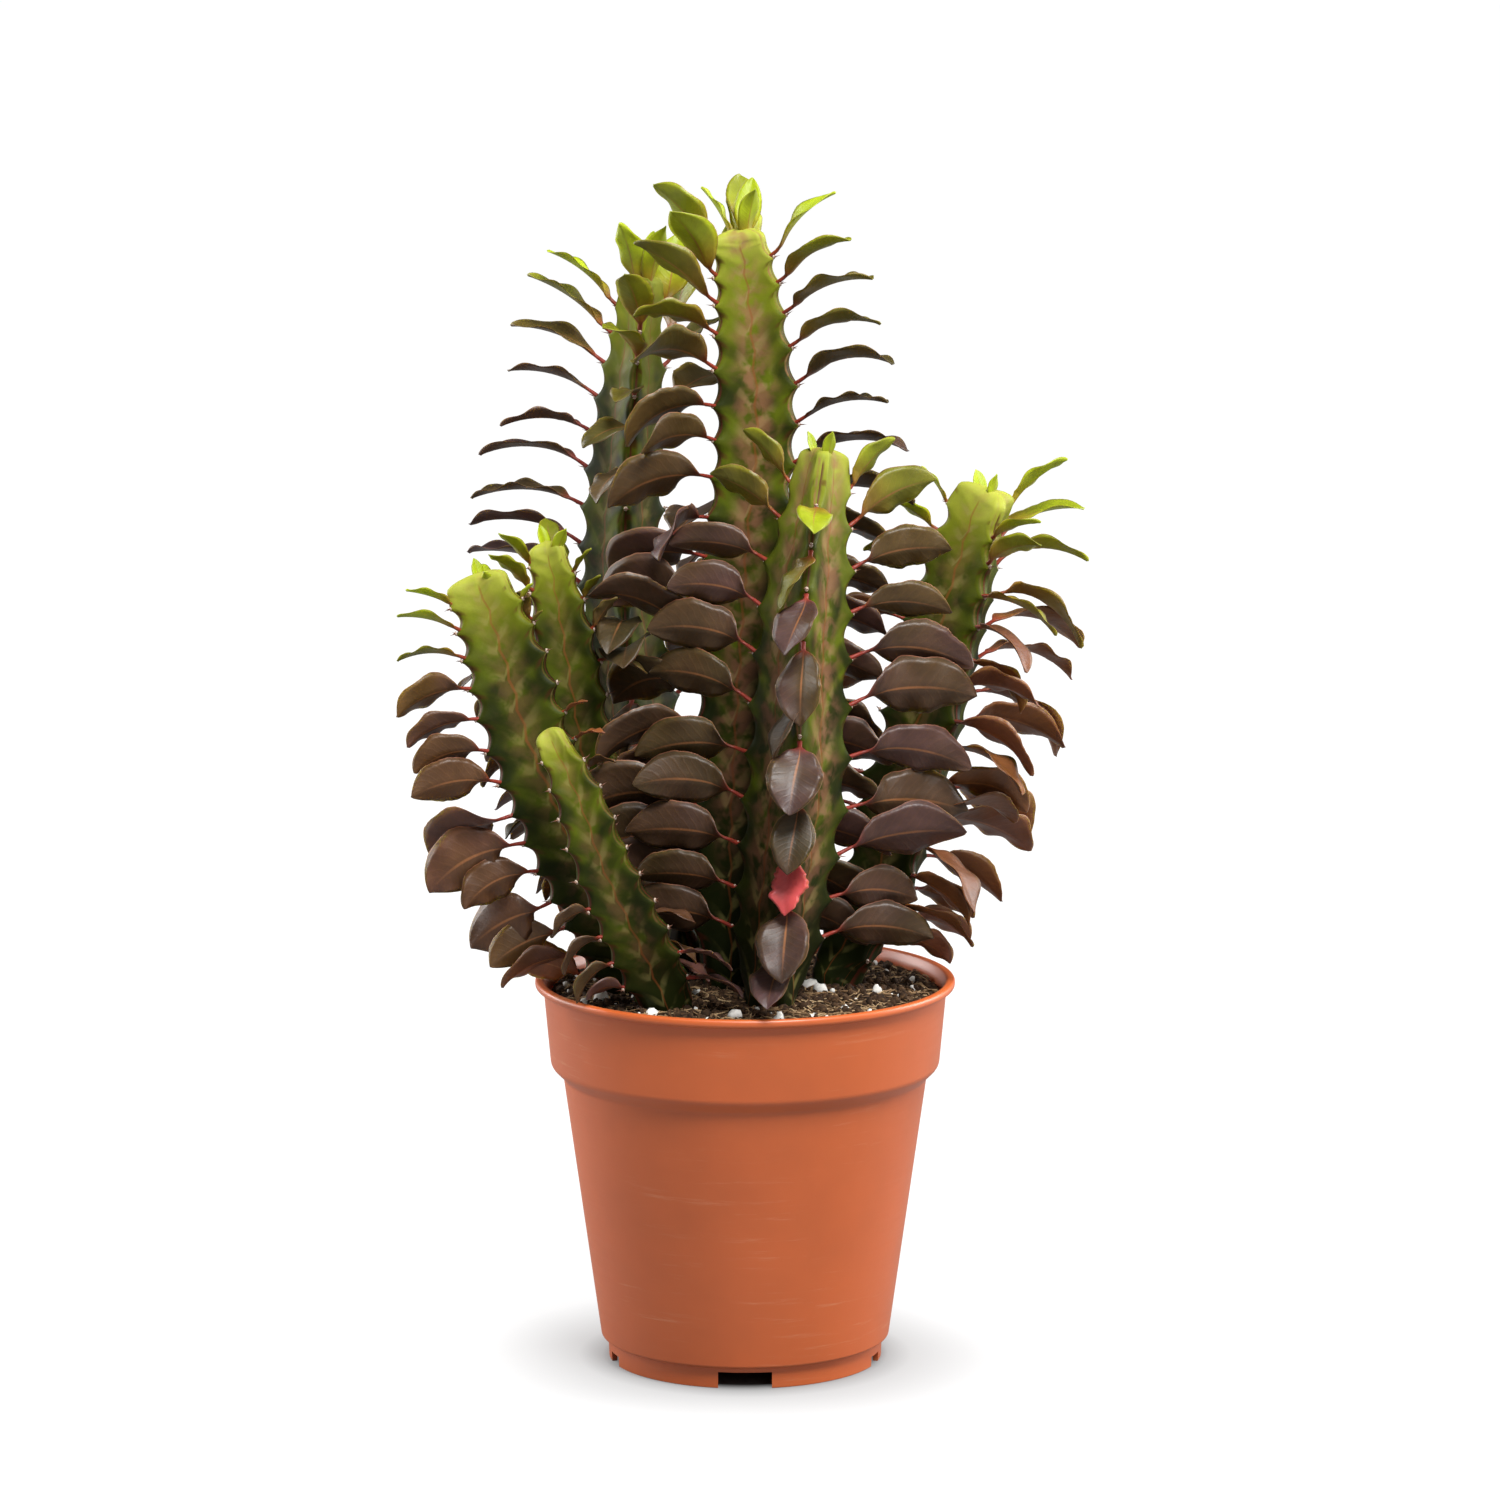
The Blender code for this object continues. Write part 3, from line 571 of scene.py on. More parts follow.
# millimetres from the stem's line to a young leaf's root, and the spread of its own draws
APEX_OUT = 2.5
APEX_TURN, APEX_SIZE, APEX_LIFT, APEX_BEND, APEX_ROLL = (20, 60), (0.8, 1.1), (-8, 4), (5, 30), (-20, 20)
REACH_LOW = (-0.140, -0.0935, 0.0)
REACH_HIGH = (0.1405, 0.099, 0.6)
POT_HEIGHT = 0.1575
BAND_TOP_RADIUS = 0.0819

# turns in azimuth, changes in rise, and scales that are tried in this order to bend a leaf clear
BENDS = [(turn, lift, scale)
         for scale in (1.0, 0.85, 0.7, 0.55)
         for lift in (0, 12, -12, 24, -24, 38)
         for turn in (0, 14, -14, 28, -28, 42, -42)]

print("bends tried for each leaf:", len(BENDS))

# %% Faces of rings
def grid_faces(rings, count):
    """Quads that join rings of points."""
    faces = []
    for r in range(rings - 1):
        for k in range(count):
            a, b = r * count + k, r * count + (k + 1) % count
            faces.append((a, b, b + count, a + count))
    return faces


def disc(count, first=0):
    """One flat face that closes a ring, seen from below."""
    return tuple(first + k for k in reversed(range(count)))


def tip_fan(last, count):
    """Triangles from the last ring, whose points start at last, to the tip right after it."""
    return [(last + k, last + (k + 1) % count, last + count) for k in range(count)]


print("a ring of three closes as", disc(3))

# %% Coarse stems for the test
def stem_body(stem):
    """Points and faces of one bare stem: its round foot in the soil, its wings and its blunt tip."""
    runs = []
    for low, high in zip(stem.teeth, stem.teeth[1:]):
        runs += [low, 0.5 * (low + high)]
    runs += [stem.teeth[-1], stem.length]
    base, _ = stem.place(0.0)
    count = 3 * len(stem.spec["ribs"])
    points = []
    for height in (PEG_BOTTOM_Z, SOIL_LEVEL + 0.5 * MM):
        foot = Vector((base.x, base.y, height))
        for one in stem.spec["ribs"]:
            for offset in (-18.0, 18.0, 60.0):
                points.append(foot + PEG_RADIUS * outward(one["azimuth"] + offset))
    for run in runs:
        points += stem.section(run)
    rings = len(runs) + 2
    faces = [disc(count)]
    for a, b, c, d in grid_faces(rings, count):
        faces += [(a, b, c), (a, c, d)]
    here, along = stem.place(stem.length)
    points.append(here + TIP_RISE * along)
    return points, faces + tip_fan((rings - 1) * count, count)


print("points of the coarse stems:", [len(stem_body(stem)[0]) for stem in stems])

# %% Coarse leaves for the test
def blade_half(share, point=BLADE_POINT, widest=BLADE_WIDEST):
    """Half width of a blade as a share of its widest, along the leaf."""
    t = min(max((share - PETIOLE) / (1.0 - PETIOLE), 0.0), 1.0)
    return t * (1.0 - t) ** point / widest


def leaf_line(leaf):
    """Centres, side and up directions along a leaf, from its sunk root to its tip."""
    start, turn = leaf["start"]
    total = leaf["length"] + ROOT_SINK
    step = total / LEAF_STEPS
    here = leaf["root"].copy()
    frames = []
    for i in range(LEAF_STEPS + 1):
        share = i / LEAF_STEPS
        slope = start + (leaf["rise"] - start) * smooth(share / RISE_SHARE)
        slope -= leaf["bend"] * max(share - BEND_FROM, 0.0) / (1.0 - BEND_FROM)
        turned_by = smooth((share - STRAIGHT_SHARE) / TURN_SHARE)
        out = outward(turn + (leaf["azimuth"] - turn) * turned_by + leaf["sway"] * share)
        slope = math.radians(slope)
        along = out * math.cos(slope) + UP * math.sin(slope)
        up = UP * math.cos(slope) - out * math.sin(slope)
        side = along.cross(up)
        roll = Matrix.Rotation(math.radians(leaf["roll"]) * turned_by, 3, along)
        frames.append((here.copy(), roll @ side, roll @ up))
        here += along * step
    return frames


def frame_at(frames, share):
    """Centre, side and up at a share of a leaf's length."""
    at = share * LEAF_STEPS
    low = min(int(at), LEAF_STEPS - 1)
    return [a.lerp(b, at - low) for a, b in zip(frames[low], frames[low + 1])]


def leaf_mesh(leaf, extra=0.0, start=0):
    """A closed, folded blade on a stalk. extra fattens it for tests, start drops root stations."""
    frames = leaf_line(leaf)
    stations = LEAF_STATIONS if leaf["length"] > SHORT_LEAF else SHORT_STATIONS
    points = []
    for share in stations[start:-1]:
        centre, side, up = frame_at(frames, share)
        half = max(PETIOLE_HALF, blade_half(share) * leaf["width"] / 2) + extra
        thick = max(BLADE_HALF_THICKNESS, PETIOLE_HALF * (1.0 - share / 0.5)) + extra
        fold = BLADE_FOLD * (half - PETIOLE_HALF - extra)
        points += [centre + side * half + up * fold, centre + up * thick,
                   centre - side * half + up * fold, centre - up * thick]
    points.append(frames[-1][0])
    rings = len(stations) - 1 - start
    faces = [[0, 1, 3], [1, 2, 3]]
    for r in range(rings - 1):
        for k in range(4):
            a, b = 4 * r + k, 4 * r + (k + 1) % 4
            if k % 2 == 0:
                faces += [[a, a + 4, b + 4], [a, b + 4, b]]
            else:
                faces += [[a, a + 4, b], [a + 4, b + 4, b]]
    return points, faces + [(a, tip, b) for a, b, tip in tip_fan(4 * (rings - 1), 4)]


print("half width of a blade at its middle:", round(blade_half(0.5), 3))

# %% Leaf rules
def leaf_rule(stem, stem_index, rib_index, tooth_index):
    """The leaf at one tooth, or None where the tooth is bare."""
    one = stem.spec["ribs"][rib_index]
    run = stem.tooth(rib_index, tooth_index)
    draw = random.Random(LEAF_SEED + 1000 * stem_index + 100 * rib_index + tooth_index)
    chance = draw.random()
    if run is None:
        return None
    height = run / stem.length
    low, high = one["leafy"]
    if not low <= height <= high or (chance > one["keep"] and height < CROWN):
        return None
    azimuth = one["azimuth"] + stem.spec["twist"] * height
    loose = one["loose"]
    heading = azimuth + one["turn"] + loose * draw.uniform(-HEADING_DRAW, HEADING_DRAW)
    length = rule(one["length"], height) * MM * draw.uniform(*LENGTH_DRAW)
    rise = rule(one["rise"], height) + loose * draw.uniform(-RISE_DRAW, RISE_DRAW)
    here, _ = stem.place(run)
    crest = stem.wing(run) * stem.margin(run, one["phase"]) - ROOT_SINK
    roll = (-rule(one["face"], height) * math.sin(math.radians(heading))
            + loose * draw.uniform(-ROLL_DRAW, ROLL_DRAW))
    return {
        "root": here + crest * stem.radial(run, one["azimuth"]),
        "start": (min(rise, STALK_RISE), azimuth),
        "azimuth": heading,
        "rise": rise,
        "bend": rule(one["bend"], height) * draw.uniform(*BEND_DRAW),
        "sway": loose * draw.uniform(-SWAY_DRAW, SWAY_DRAW),
        "roll": roll,
        "length": length,
        "width": length * BLADE_ASPECT * one["broad"] * draw.uniform(*WIDTH_DRAW),
        "height": height,
    }


def apex_leaves(stem, stem_index):
    """Young leaves that stand upright round the growing tip."""
    count, length = stem.spec["apex"]
    here, along = stem.place(stem.length)
    leaves = []
    for i in range(count):
        draw = random.Random(LEAF_SEED + 1000 * stem_index + 500 + i)
        azimuth = 360.0 * i / count + draw.uniform(*APEX_TURN)
        size = length * MM * draw.uniform(*APEX_SIZE)
        rise = APEX_RISE + draw.uniform(*APEX_LIFT)
        leaves.append({
            "root": here - APEX_SINK * along + APEX_OUT * MM * outward(azimuth),
            "start": (rise, azimuth),
            "azimuth": azimuth,
            "rise": rise,
            "bend": draw.uniform(*APEX_BEND),
            "sway": draw.uniform(-SWAY_DRAW, SWAY_DRAW),
            "roll": draw.uniform(*APEX_ROLL),
            "length": size,
            "width": size * BLADE_ASPECT * draw.uniform(*WIDTH_DRAW),
            "height": 1.0,
        })
    return leaves


print("leaves asked for at the tips:", [len(apex_leaves(stem, 0)) for stem in stems])

# %% Bend every leaf clear
def tree_of(points, faces):
    """A search tree and the bounds of a mesh."""
    low = Vector([min(point[k] for point in points) for k in range(3)])
    high = Vector([max(point[k] for point in points) for k in range(3)])
    return BVHTree.FromPolygons(points, faces), low, high


def meets(tested, other):
    """Whether two searched meshes cross."""
    if any(tested[1][k] > other[2][k] or other[1][k] > tested[2][k] for k in range(3)):
        return False
    return bool(tested[0].overlap(other[0]))


def over_pot(point):
    """Whether a point is clear above the soil and the lip."""
    if math.hypot(point.x, point.y) > BAND_TOP_RADIUS - 4 * MM:
        return point.z > POT_HEIGHT + POT_CLEARANCE
    return point.z > SOIL_LEVEL + POT_CLEARANCE


def in_reach(points):
    """Whether every point lies inside the plant's outer limits."""
    return all(REACH_LOW[k] < point[k] < REACH_HIGH[k] for point in points for k in (0, 1))


def bent_clear(leaf, own, others, placed):
    """The first bend of a leaf that crosses neither a stem, a leaf, the pot nor the soil."""
    for turn, lift, scale in BENDS:
        bent = dict(leaf, azimuth=leaf["azimuth"] + turn, rise=leaf["rise"] + lift,
                    length=leaf["length"] * scale, width=leaf["width"] * scale)
        points, faces = leaf_mesh(bent, CLEARANCE)
        middles = [points[i].lerp(points[i + 4], 0.5) for i in range(4, len(points) - 5)]
        if not in_reach(points) or not all(over_pot(point) for point in points + middles):
            continue
        whole = tree_of(points, faces)
        if any(meets(whole, tree) for tree in others + placed):
            continue
        if meets(tree_of(*leaf_mesh(bent, CLEARANCE, start=2)), own):
            continue
        return bent, whole
    return None, None


def place_leaves(stems):
    """Leaves for every stem, each bent clear of all that stands before it."""
    bodies = {stem.name: tree_of(*stem_body(stem)) for stem in stems}
    placed = []
    leaves = {}
    for stem_index, stem in enumerate(stems):
        others = [tree for name, tree in bodies.items() if name != stem.name]
        leaves[stem.name] = []
        wanted = apex_leaves(stem, stem_index)
        for tooth_index in range(len(stem.teeth)):
            for rib_index in range(3):
                wanted.append(leaf_rule(stem, stem_index, rib_index, tooth_index))
        for leaf in wanted:
            if leaf is None:
                continue
            bent, tree = bent_clear(leaf, bodies[stem.name], others, placed)
            if bent:
                placed.append(tree)
                leaves[stem.name].append(bent)
    return leaves


leaves = place_leaves(stems)
print("leaves:", {name: len(found) for name, found in leaves.items()})

# %% [markdown]
# ## One way to make a piece
# All fine pieces are meshes made in code. A heap gathers shapes and the values on their points
# that the materials read later. The piece it becomes is then handed to the frame: which body
# it rides on and which solid it stands for, and it gets its material.

# %% Mesh helpers
class Heap:
    """Shapes gathered for one mesh, with the values stored on their points."""

    def __init__(self, *stores):
        self.points, self.faces = [], []
        self.values = {store: [] for store in stores}

    def add(self, points, faces, *values):
        """Take in one shape."""
        first = len(self.points)
        self.points += points
        self.faces += [tuple(first + k for k in face) for face in faces]
        for rows, new in zip(self.values.values(), values):
            rows += new


def make_piece(name, heap, material, node):
    """A smooth mesh piece that rides on the plant and stands for one solid."""
    mesh = bpy.data.meshes.new(name)
    mesh.from_pydata(np.asarray(heap.points, float).tolist(), [], heap.faces)
    for key, rows in heap.values.items():
        store = mesh.attributes.new(key, "FLOAT_VECTOR", "POINT")
        store.data.foreach_set("vector", np.asarray(rows, np.float32).ravel())
    mesh.shade_smooth()
    mesh.materials.append(material)
    piece = bpy.data.objects.new(name, mesh)
    bpy.context.scene.collection.objects.link(piece)
    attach(piece, "root")
    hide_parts(node)
    return piece


print("mesh helpers ready")

# %% [markdown]
# ## Shared shader groups
# Skin, leaf, plastic and peat all show uneven tone and a fine surface. Each effect is one node
# group with named inputs, built once. A group only returns a colour, a mask or a height, and
# the shader itself stays in the material.

# %% Masks, layers and clouds
def step(value, low, high):
    """A smooth step from 0 at low to 1 at high."""
    node = add(value.tree, "ShaderNodeMapRange", interpolation_type="SMOOTHSTEP")
    return wire(feed(node, Value=value, From_Min=low, From_Max=high))


def paint(colour, layers):
    """A colour under layers, each a share and a colour."""
    for share, layer in layers:
        node = add(share.tree, "ShaderNodeMix", data_type="RGBA")
        for index, value in ((0, share), (6, colour), (7, layer)):
            join(node.inputs[index], value)
        colour = wire(node, 2)
    return colour


def clouds(place, scale, detail, **more):
    """Soft random clouds from 0 to 1."""
    node = add(place.tree, "ShaderNodeTexNoise")
    return wire(feed(node, Vector=place, Scale=scale, Detail=detail, **more), "Fac")


def stored(tree, name):
    """The three values kept on the points under a name."""
    values = wire(add(tree, "ShaderNodeAttribute", attribute_name=name), "Vector")
    return [Wire(socket) for socket in feed(add(tree, "ShaderNodeSeparateXYZ"), Vector=values).outputs]


print("mask helpers:", step.__name__, paint.__name__, clouds.__name__, stored.__name__)

# %% Group helper
def new_group(name, inputs, outputs):
    """An empty shader group: its tree, its inputs as wires, and its end."""
    tree = bpy.data.node_groups.new(name, "ShaderNodeTree")
    for side, sockets in (("INPUT", inputs), ("OUTPUT", outputs)):
        for socket, kind in sockets.items():
            tree.interface.new_socket(socket, in_out=side, socket_type="NodeSocket" + kind)
    start = add(tree, "NodeGroupInput")
    return tree, [wire(start, socket) for socket in inputs], add(tree, "NodeGroupOutput")


print("group helper ready")

# %% Uneven tone: light and dark clouds in any colour
uneven, (plain, place, scale, amount), end = new_group(
    "uneven_tone", {"Colour": "Color", "Place": "Vector", "Scale": "Float", "Amount": "Float"},
    {"Colour": "Color", "Cloud": "Float"})
cloud = clouds(place, scale, 4.0, Roughness=0.6)
feed(end, Colour=scaled(plain, (cloud - 0.5) * amount * 2.0 + 1.0), Cloud=cloud)


def toned(colour, place, scale, amount):
    """A colour with clouds in it, and the clouds."""
    node = feed(add(place.tree, "ShaderNodeGroup", node_tree=uneven), Colour=colour, Place=place,
                Scale=scale, Amount=amount)
    return wire(node, "Colour"), wire(node, "Cloud")


print("group:", uneven.name)

# %% Fine surface: a height made of two sizes of grain
grainy, (place, coarse, fine), end = new_group(
    "fine_surface", {"Place": "Vector", "Coarse": "Float", "Fine": "Float"}, {"Height": "Float"})
feed(end, Height=clouds(place, coarse, 3.0) * 0.65 + clouds(place, fine, 2.0) * 0.35)


def roughen(shader, place, coarse, fine, strength, distance, grooves=None):
    """Feed the fine surface, less any grooves, into a shader's normal."""
    height = wire(feed(add(place.tree, "ShaderNodeGroup", node_tree=grainy), Place=place,
                      Coarse=coarse, Fine=fine))
    if grooves is not None:
        height = height - grooves
    bump = feed(add(place.tree, "ShaderNodeBump"), Height=height, Strength=strength, Distance=distance)
    feed(shader, Normal=wire(bump))


def dull_material(name, colour_of, tone, rough, specular, grain):
    """A material of one uneven colour, one roughness and one grain."""
    material, tree, shader, place = new_material(name)
    finish(shader, toned(colour_of(tree, place), place, *tone)[0], rough, specular)
    roughen(shader, place, *grain)
    return material


print("group:", grainy.name)

# %% [markdown]
# ## Skin of the stems
# A young wing is lime green, an old one dark green, and pale feathered marks run up the middle
# of each face and fan out to the teeth. The toothed edge is horny and red-brown. Image maps
# could hold this, but values kept on the points follow every wing exactly: how far up, how
# far across the face, and how many teeth along.

# %% Skin material
SKIN_AGES = [
    (0.00, (0.012, 0.014, 0.003)), (0.25, (0.024, 0.030, 0.003)), (0.60, (0.046, 0.056, 0.004)),
    (0.82, (0.085, 0.098, 0.005)), (0.94, (0.190, 0.212, 0.012)), (1.00, (0.370, 0.390, 0.050)),
]
SKIN_LIME = (0.170, 0.220, 0.008)
SKIN_PALE = (0.360, 0.330, 0.110)
SKIN_BLUSH = (0.300, 0.125, 0.075)
SKIN_SHADE = (0.013, 0.018, 0.003)
SKIN_VEIN = (0.250, 0.070, 0.020)
SKIN_EDGE = (0.100, 0.022, 0.012)


def skin_material():
    """Waxy, marbled green skin with horny red-brown edges."""
    material, tree, shader, place = new_material("marbled_skin")
    height, across, fan = stored(tree, "stem_place")
    pale, blush, shade = stored(tree, "stem_tone")
    patch = clouds(place, 62.0, 1.0, Distortion=0.5)
    small = clouds(place, 190.0, 2.0, Distortion=0.3)
    side = across.math("ABSOLUTE")
    inner = 1.0 - step(side, 0.10, 0.80)
    # a wave that peaks on each line of the fan, bent by the patches
    wave = ((fan + patch * 0.5) * TURN).math("COSINE")
    lobe = step(wave, -0.5, 0.9)
    lime = (lobe * 0.65 + 0.35) * step(patch, 0.36, 0.66) * step(height, 0.05, 0.55)
    dark = (1.0 - step(patch, 0.38, 0.62)) * (1.0 - lobe * 0.3) * step(side, 0.12, 0.50)
    old = 1.0 - step(height, 0.80, 0.97)
    # painted shade: each stem darker towards its foot, low among the leaves, partly older skin too
    foot = 1.0 - step(height, 0.04, 0.42)
    marks = step(wave, 0.4, 1.0) * inner * step(small, 0.30, 0.58)
    flush = inner * step(small, 0.32, 0.62) * step(height, 0.10, 0.30)
    # everything but the very tip, where the lines and edges would meet in a dark star
    body = 1.0 - step(height, 0.985, 1.0)
    vein = (1.0 - step(side, 0.01, 0.06)) * body
    tooth = step(side, 0.74, 1.0) * step(wave, 0.62, 1.0)
    edge = step(side, 0.955, 0.995).math("MAXIMUM", tooth * 0.8) * body
    colour = paint(ramp(height, SKIN_AGES), [
        (lime * 0.60, SKIN_LIME), (shade * old * 0.8, SKIN_SHADE), (dark * (old * 0.85), SKIN_SHADE),
        (foot * 0.6, SKIN_SHADE), (marks * pale, SKIN_PALE), (flush * blush, SKIN_BLUSH),
        (vein * 0.5, SKIN_VEIN), (edge * 0.9, SKIN_EDGE)])
    colour, cloud = toned(colour, place, 130.0, 0.30)
    finish(shader, colour, between(cloud, 0.44, 0.58), 0.10, (0.15, (0.6, 0.9, 0.2), 0.003))
    roughen(shader, place, 160.0, 1000.0, 0.22, 0.0005)
    return material


skin = skin_material()
print("material:", skin.name)

# %% [markdown]
# ## Fine stems
# Seen end on, a stem is a three-pointed star with hollow faces. Fifty-four points draw it
# with a rounded valley and a thin crest, and twelve rings between two teeth give the scalloped
# edge. A subdivision surface would round the teeth away, so the rings are drawn as they are.

# %% Numbers of the fine stems
FACE_POINTS = 17
RINGS_A_TOOTH = 12
VALLEY_ROUND = 0.34
TIP_RINGS = 5
BURIED = 0.010
SCALLOP = 0.80
FAN_SLANT = 0.8
# how much thicker a crest is between teeth, and millimetres by which its middle line stands out
CREST_SWELL = 0.9
CREST_LINE = 0.4
# the stored place across a face where the crest begins, so that only its middle line is horny
CREST_EDGE = 0.93
# metres: how high the ridges of the fan and the lumps of the skin stand
RIDGE = 0.0003
LUMPS = 0.0007
LUMP_GRAIN = 60.0
print("points on a face:", FACE_POINTS)

# %% Section of a fine stem
def fine_margin(stem, run, phase):
    """The toothed edge, with sharper teeth than the coarse stem has."""
    return 1.0 - TOOTH_DEPTH * ((1.0 - stem.margin(run, phase)) / TOOTH_DEPTH) ** SCALLOP


def face_share(value):
    """0 in the valley to 1 at a crest, with a rounded valley."""
    top = 0.5 * (1.0 + math.sqrt(1.0 + VALLEY_ROUND ** 2))
    return 0.5 * (value + math.sqrt(value ** 2 + VALLEY_ROUND ** 2)) / top


def fine_section(stem, run, tooth, shrink=1.0):
    """Points round a stem, with how far each is across its face and along the fan of lines."""
    here, _ = stem.place(run)
    winged = smooth(run / COLLAR)
    reach = stem.wing(run)
    ribs = stem.spec["ribs"]
    crests = []
    for one in ribs:
        edge = fine_margin(stem, run, one["phase"])
        tip = 1.0 - (1.0 - edge) / TOOTH_DEPTH
        crest = stem.out_from(run, reach * edge)
        half = CREST_HALF * (1.0 + CREST_SWELL * (1.0 - tip)) + (1.0 - winged) * CREST_FLARE * MM
        crests.append((crest, math.degrees(math.asin(min(1.0, half / crest)))))
    valley = stem.out_from(run, reach * VALLEY)
    points, place = [], []
    for j, one in enumerate(ribs):
        after = ribs[(j + 1) % len(ribs)]
        low, low_spread = crests[j]
        high, high_spread = crests[(j + 1) % len(ribs)]
        first = low * stem.radial(run, one["azimuth"] + low_spread)
        last = high * stem.radial(run, after["azimuth"] - high_spread)
        facing = stem.radial(run, one["azimuth"] + TO_VALLEY)
        middle = valley * facing
        points.append(here + shrink * (low + CREST_LINE * MM) * stem.radial(run, one["azimuth"]))
        place.append((-1.0, tooth - one["phase"]))
        for k in range(FACE_POINTS):
            # t runs from -1 at one crest, through the valley, to 1 at the next
            t = -1.0 + 2.0 * k / (FACE_POINTS - 1)
            # whole numbers lie on the lines that run from the middle of the face up to its teeth
            fan = tooth - (one if t < 0 else after)["phase"] + FAN_SLANT * (1.0 - abs(t))
            spot = middle + (first - middle) * face_share(-t) + (last - middle) * face_share(t)
            if abs(t) == 1.0:
                spot = first if t < 0 else last
            body = math.sin(math.pi * abs(t)) ** 0.8 if abs(t) < 1.0 else 0.0
            swell = body * (0.5 + 0.5 * math.cos(TURN * fan)) ** 2 * RIDGE
            lump = noise.noise((here + spot) * LUMP_GRAIN) * LUMPS * (1.0 - t ** 8)
            points.append(here + shrink * (spot + (swell + lump) * winged * facing))
            place.append((CREST_EDGE * t, fan))
    return points, place


print("points in a section:", len(fine_section(stems[0], COLLAR, 1.0)[0]))

# %% Build the fine stems
def build_fine_stem(stem, tone):
    """One stem from under the soil to its blunt growing tip."""
    marks = [0.0, *stem.teeth, stem.length]
    runs = []
    for low, high in zip(marks, marks[1:]):
        runs += np.linspace(low, high, RINGS_A_TOOTH, endpoint=False).tolist()
    teeth_along = np.interp(runs, marks, range(len(marks))).tolist()
    here, along = stem.place(stem.length)
    top = len(marks) - 1.0
    # each ring's distance along the stem, its place among the teeth, its shift and its size
    rings = [(0.0, 0.0, UP * -BURIED, 1.0)]
    rings += [(run, tooth, UP * 0.0, 1.0) for run, tooth in zip(runs, teeth_along)]
    for k in range(TIP_RINGS):
        turn = math.radians(90.0 * k / TIP_RINGS)
        rings.append((stem.length, top, along * TIP_RISE * math.sin(turn), math.cos(turn)))
    points, place = [], []
    for run, tooth, shift, shrink in rings:
        ring, across = fine_section(stem, run, tooth, shrink)
        points += [spot + shift for spot in ring]
        place += [(run / stem.length, *pair) for pair in across]
    count = len(across)
    faces = grid_faces(len(rings), count)
    points.append(here + along * TIP_RISE)
    place.append((1.0, 0.0, top))
    faces += tip_fan((len(rings) - 1) * count, count) + [disc(count)]
    heap = Heap("stem_place", "stem_tone")
    heap.add(points, faces, place, [tone] * len(points))
    make_piece(stem.name + "_skin", heap, skin, stem.name)
    return len(faces)


# paleness of the marks, pink blush and darkness of each stem
STEM_TONES = {
    "stem_front": (0.45, 0.62, 0.15), "stem_tallest": (0.50, 0.62, 0.30),
    "stem_tall_left": (0.25, 0.20, 0.28), "stem_right": (0.30, 0.20, 0.58),
    "stem_outer_left": (0.25, 0.20, 0.58), "stem_short": (0.30, 0.25, 0.32),
    "stem_inner_left": (0.20, 0.15, 0.60),
}
for stem in stems:
    print(stem.name, "faces:", build_fine_stem(stem, STEM_TONES[stem.name]))

# %% [markdown]
# ## Leaf colours
# The youngest leaves at the tips are lime, the next ones olive, and the old ones purple-brown
# with a grey sheen. Undersides are coppery, and some leaves get a copper painted glow, as of
# light shining through them from behind. A red stalk runs into an orange midrib, and a thin
# pale line follows the edge. Side veins are too fine to model, so they are colour and bump.

# %% Leaf material
LEAF_AGES = [
    (0.00, (0.043, 0.028, 0.019)), (0.45, (0.045, 0.030, 0.015)), (0.70, (0.058, 0.040, 0.013)),
    (0.84, (0.090, 0.068, 0.009)), (0.93, (0.200, 0.220, 0.006)), (1.00, (0.360, 0.450, 0.006)),
]
LEAF_PURPLE = (0.068, 0.035, 0.037)
LEAF_OLIVE = (0.026, 0.031, 0.007)
LEAF_UNDER = (0.120, 0.050, 0.022)
# painted light: the copper glow of a leaf lit through from behind
LEAF_BACKLIT_COPPER = (0.320, 0.090, 0.022)
LEAF_RIB = (0.330, 0.130, 0.045)
LEAF_WARM = (0.260, 0.085, 0.012)
LEAF_STALK = (0.260, 0.026, 0.014)
LEAF_EDGE = (0.360, 0.120, 0.055)
LEAF_DAMAGED = (0.640, 0.085, 0.085)


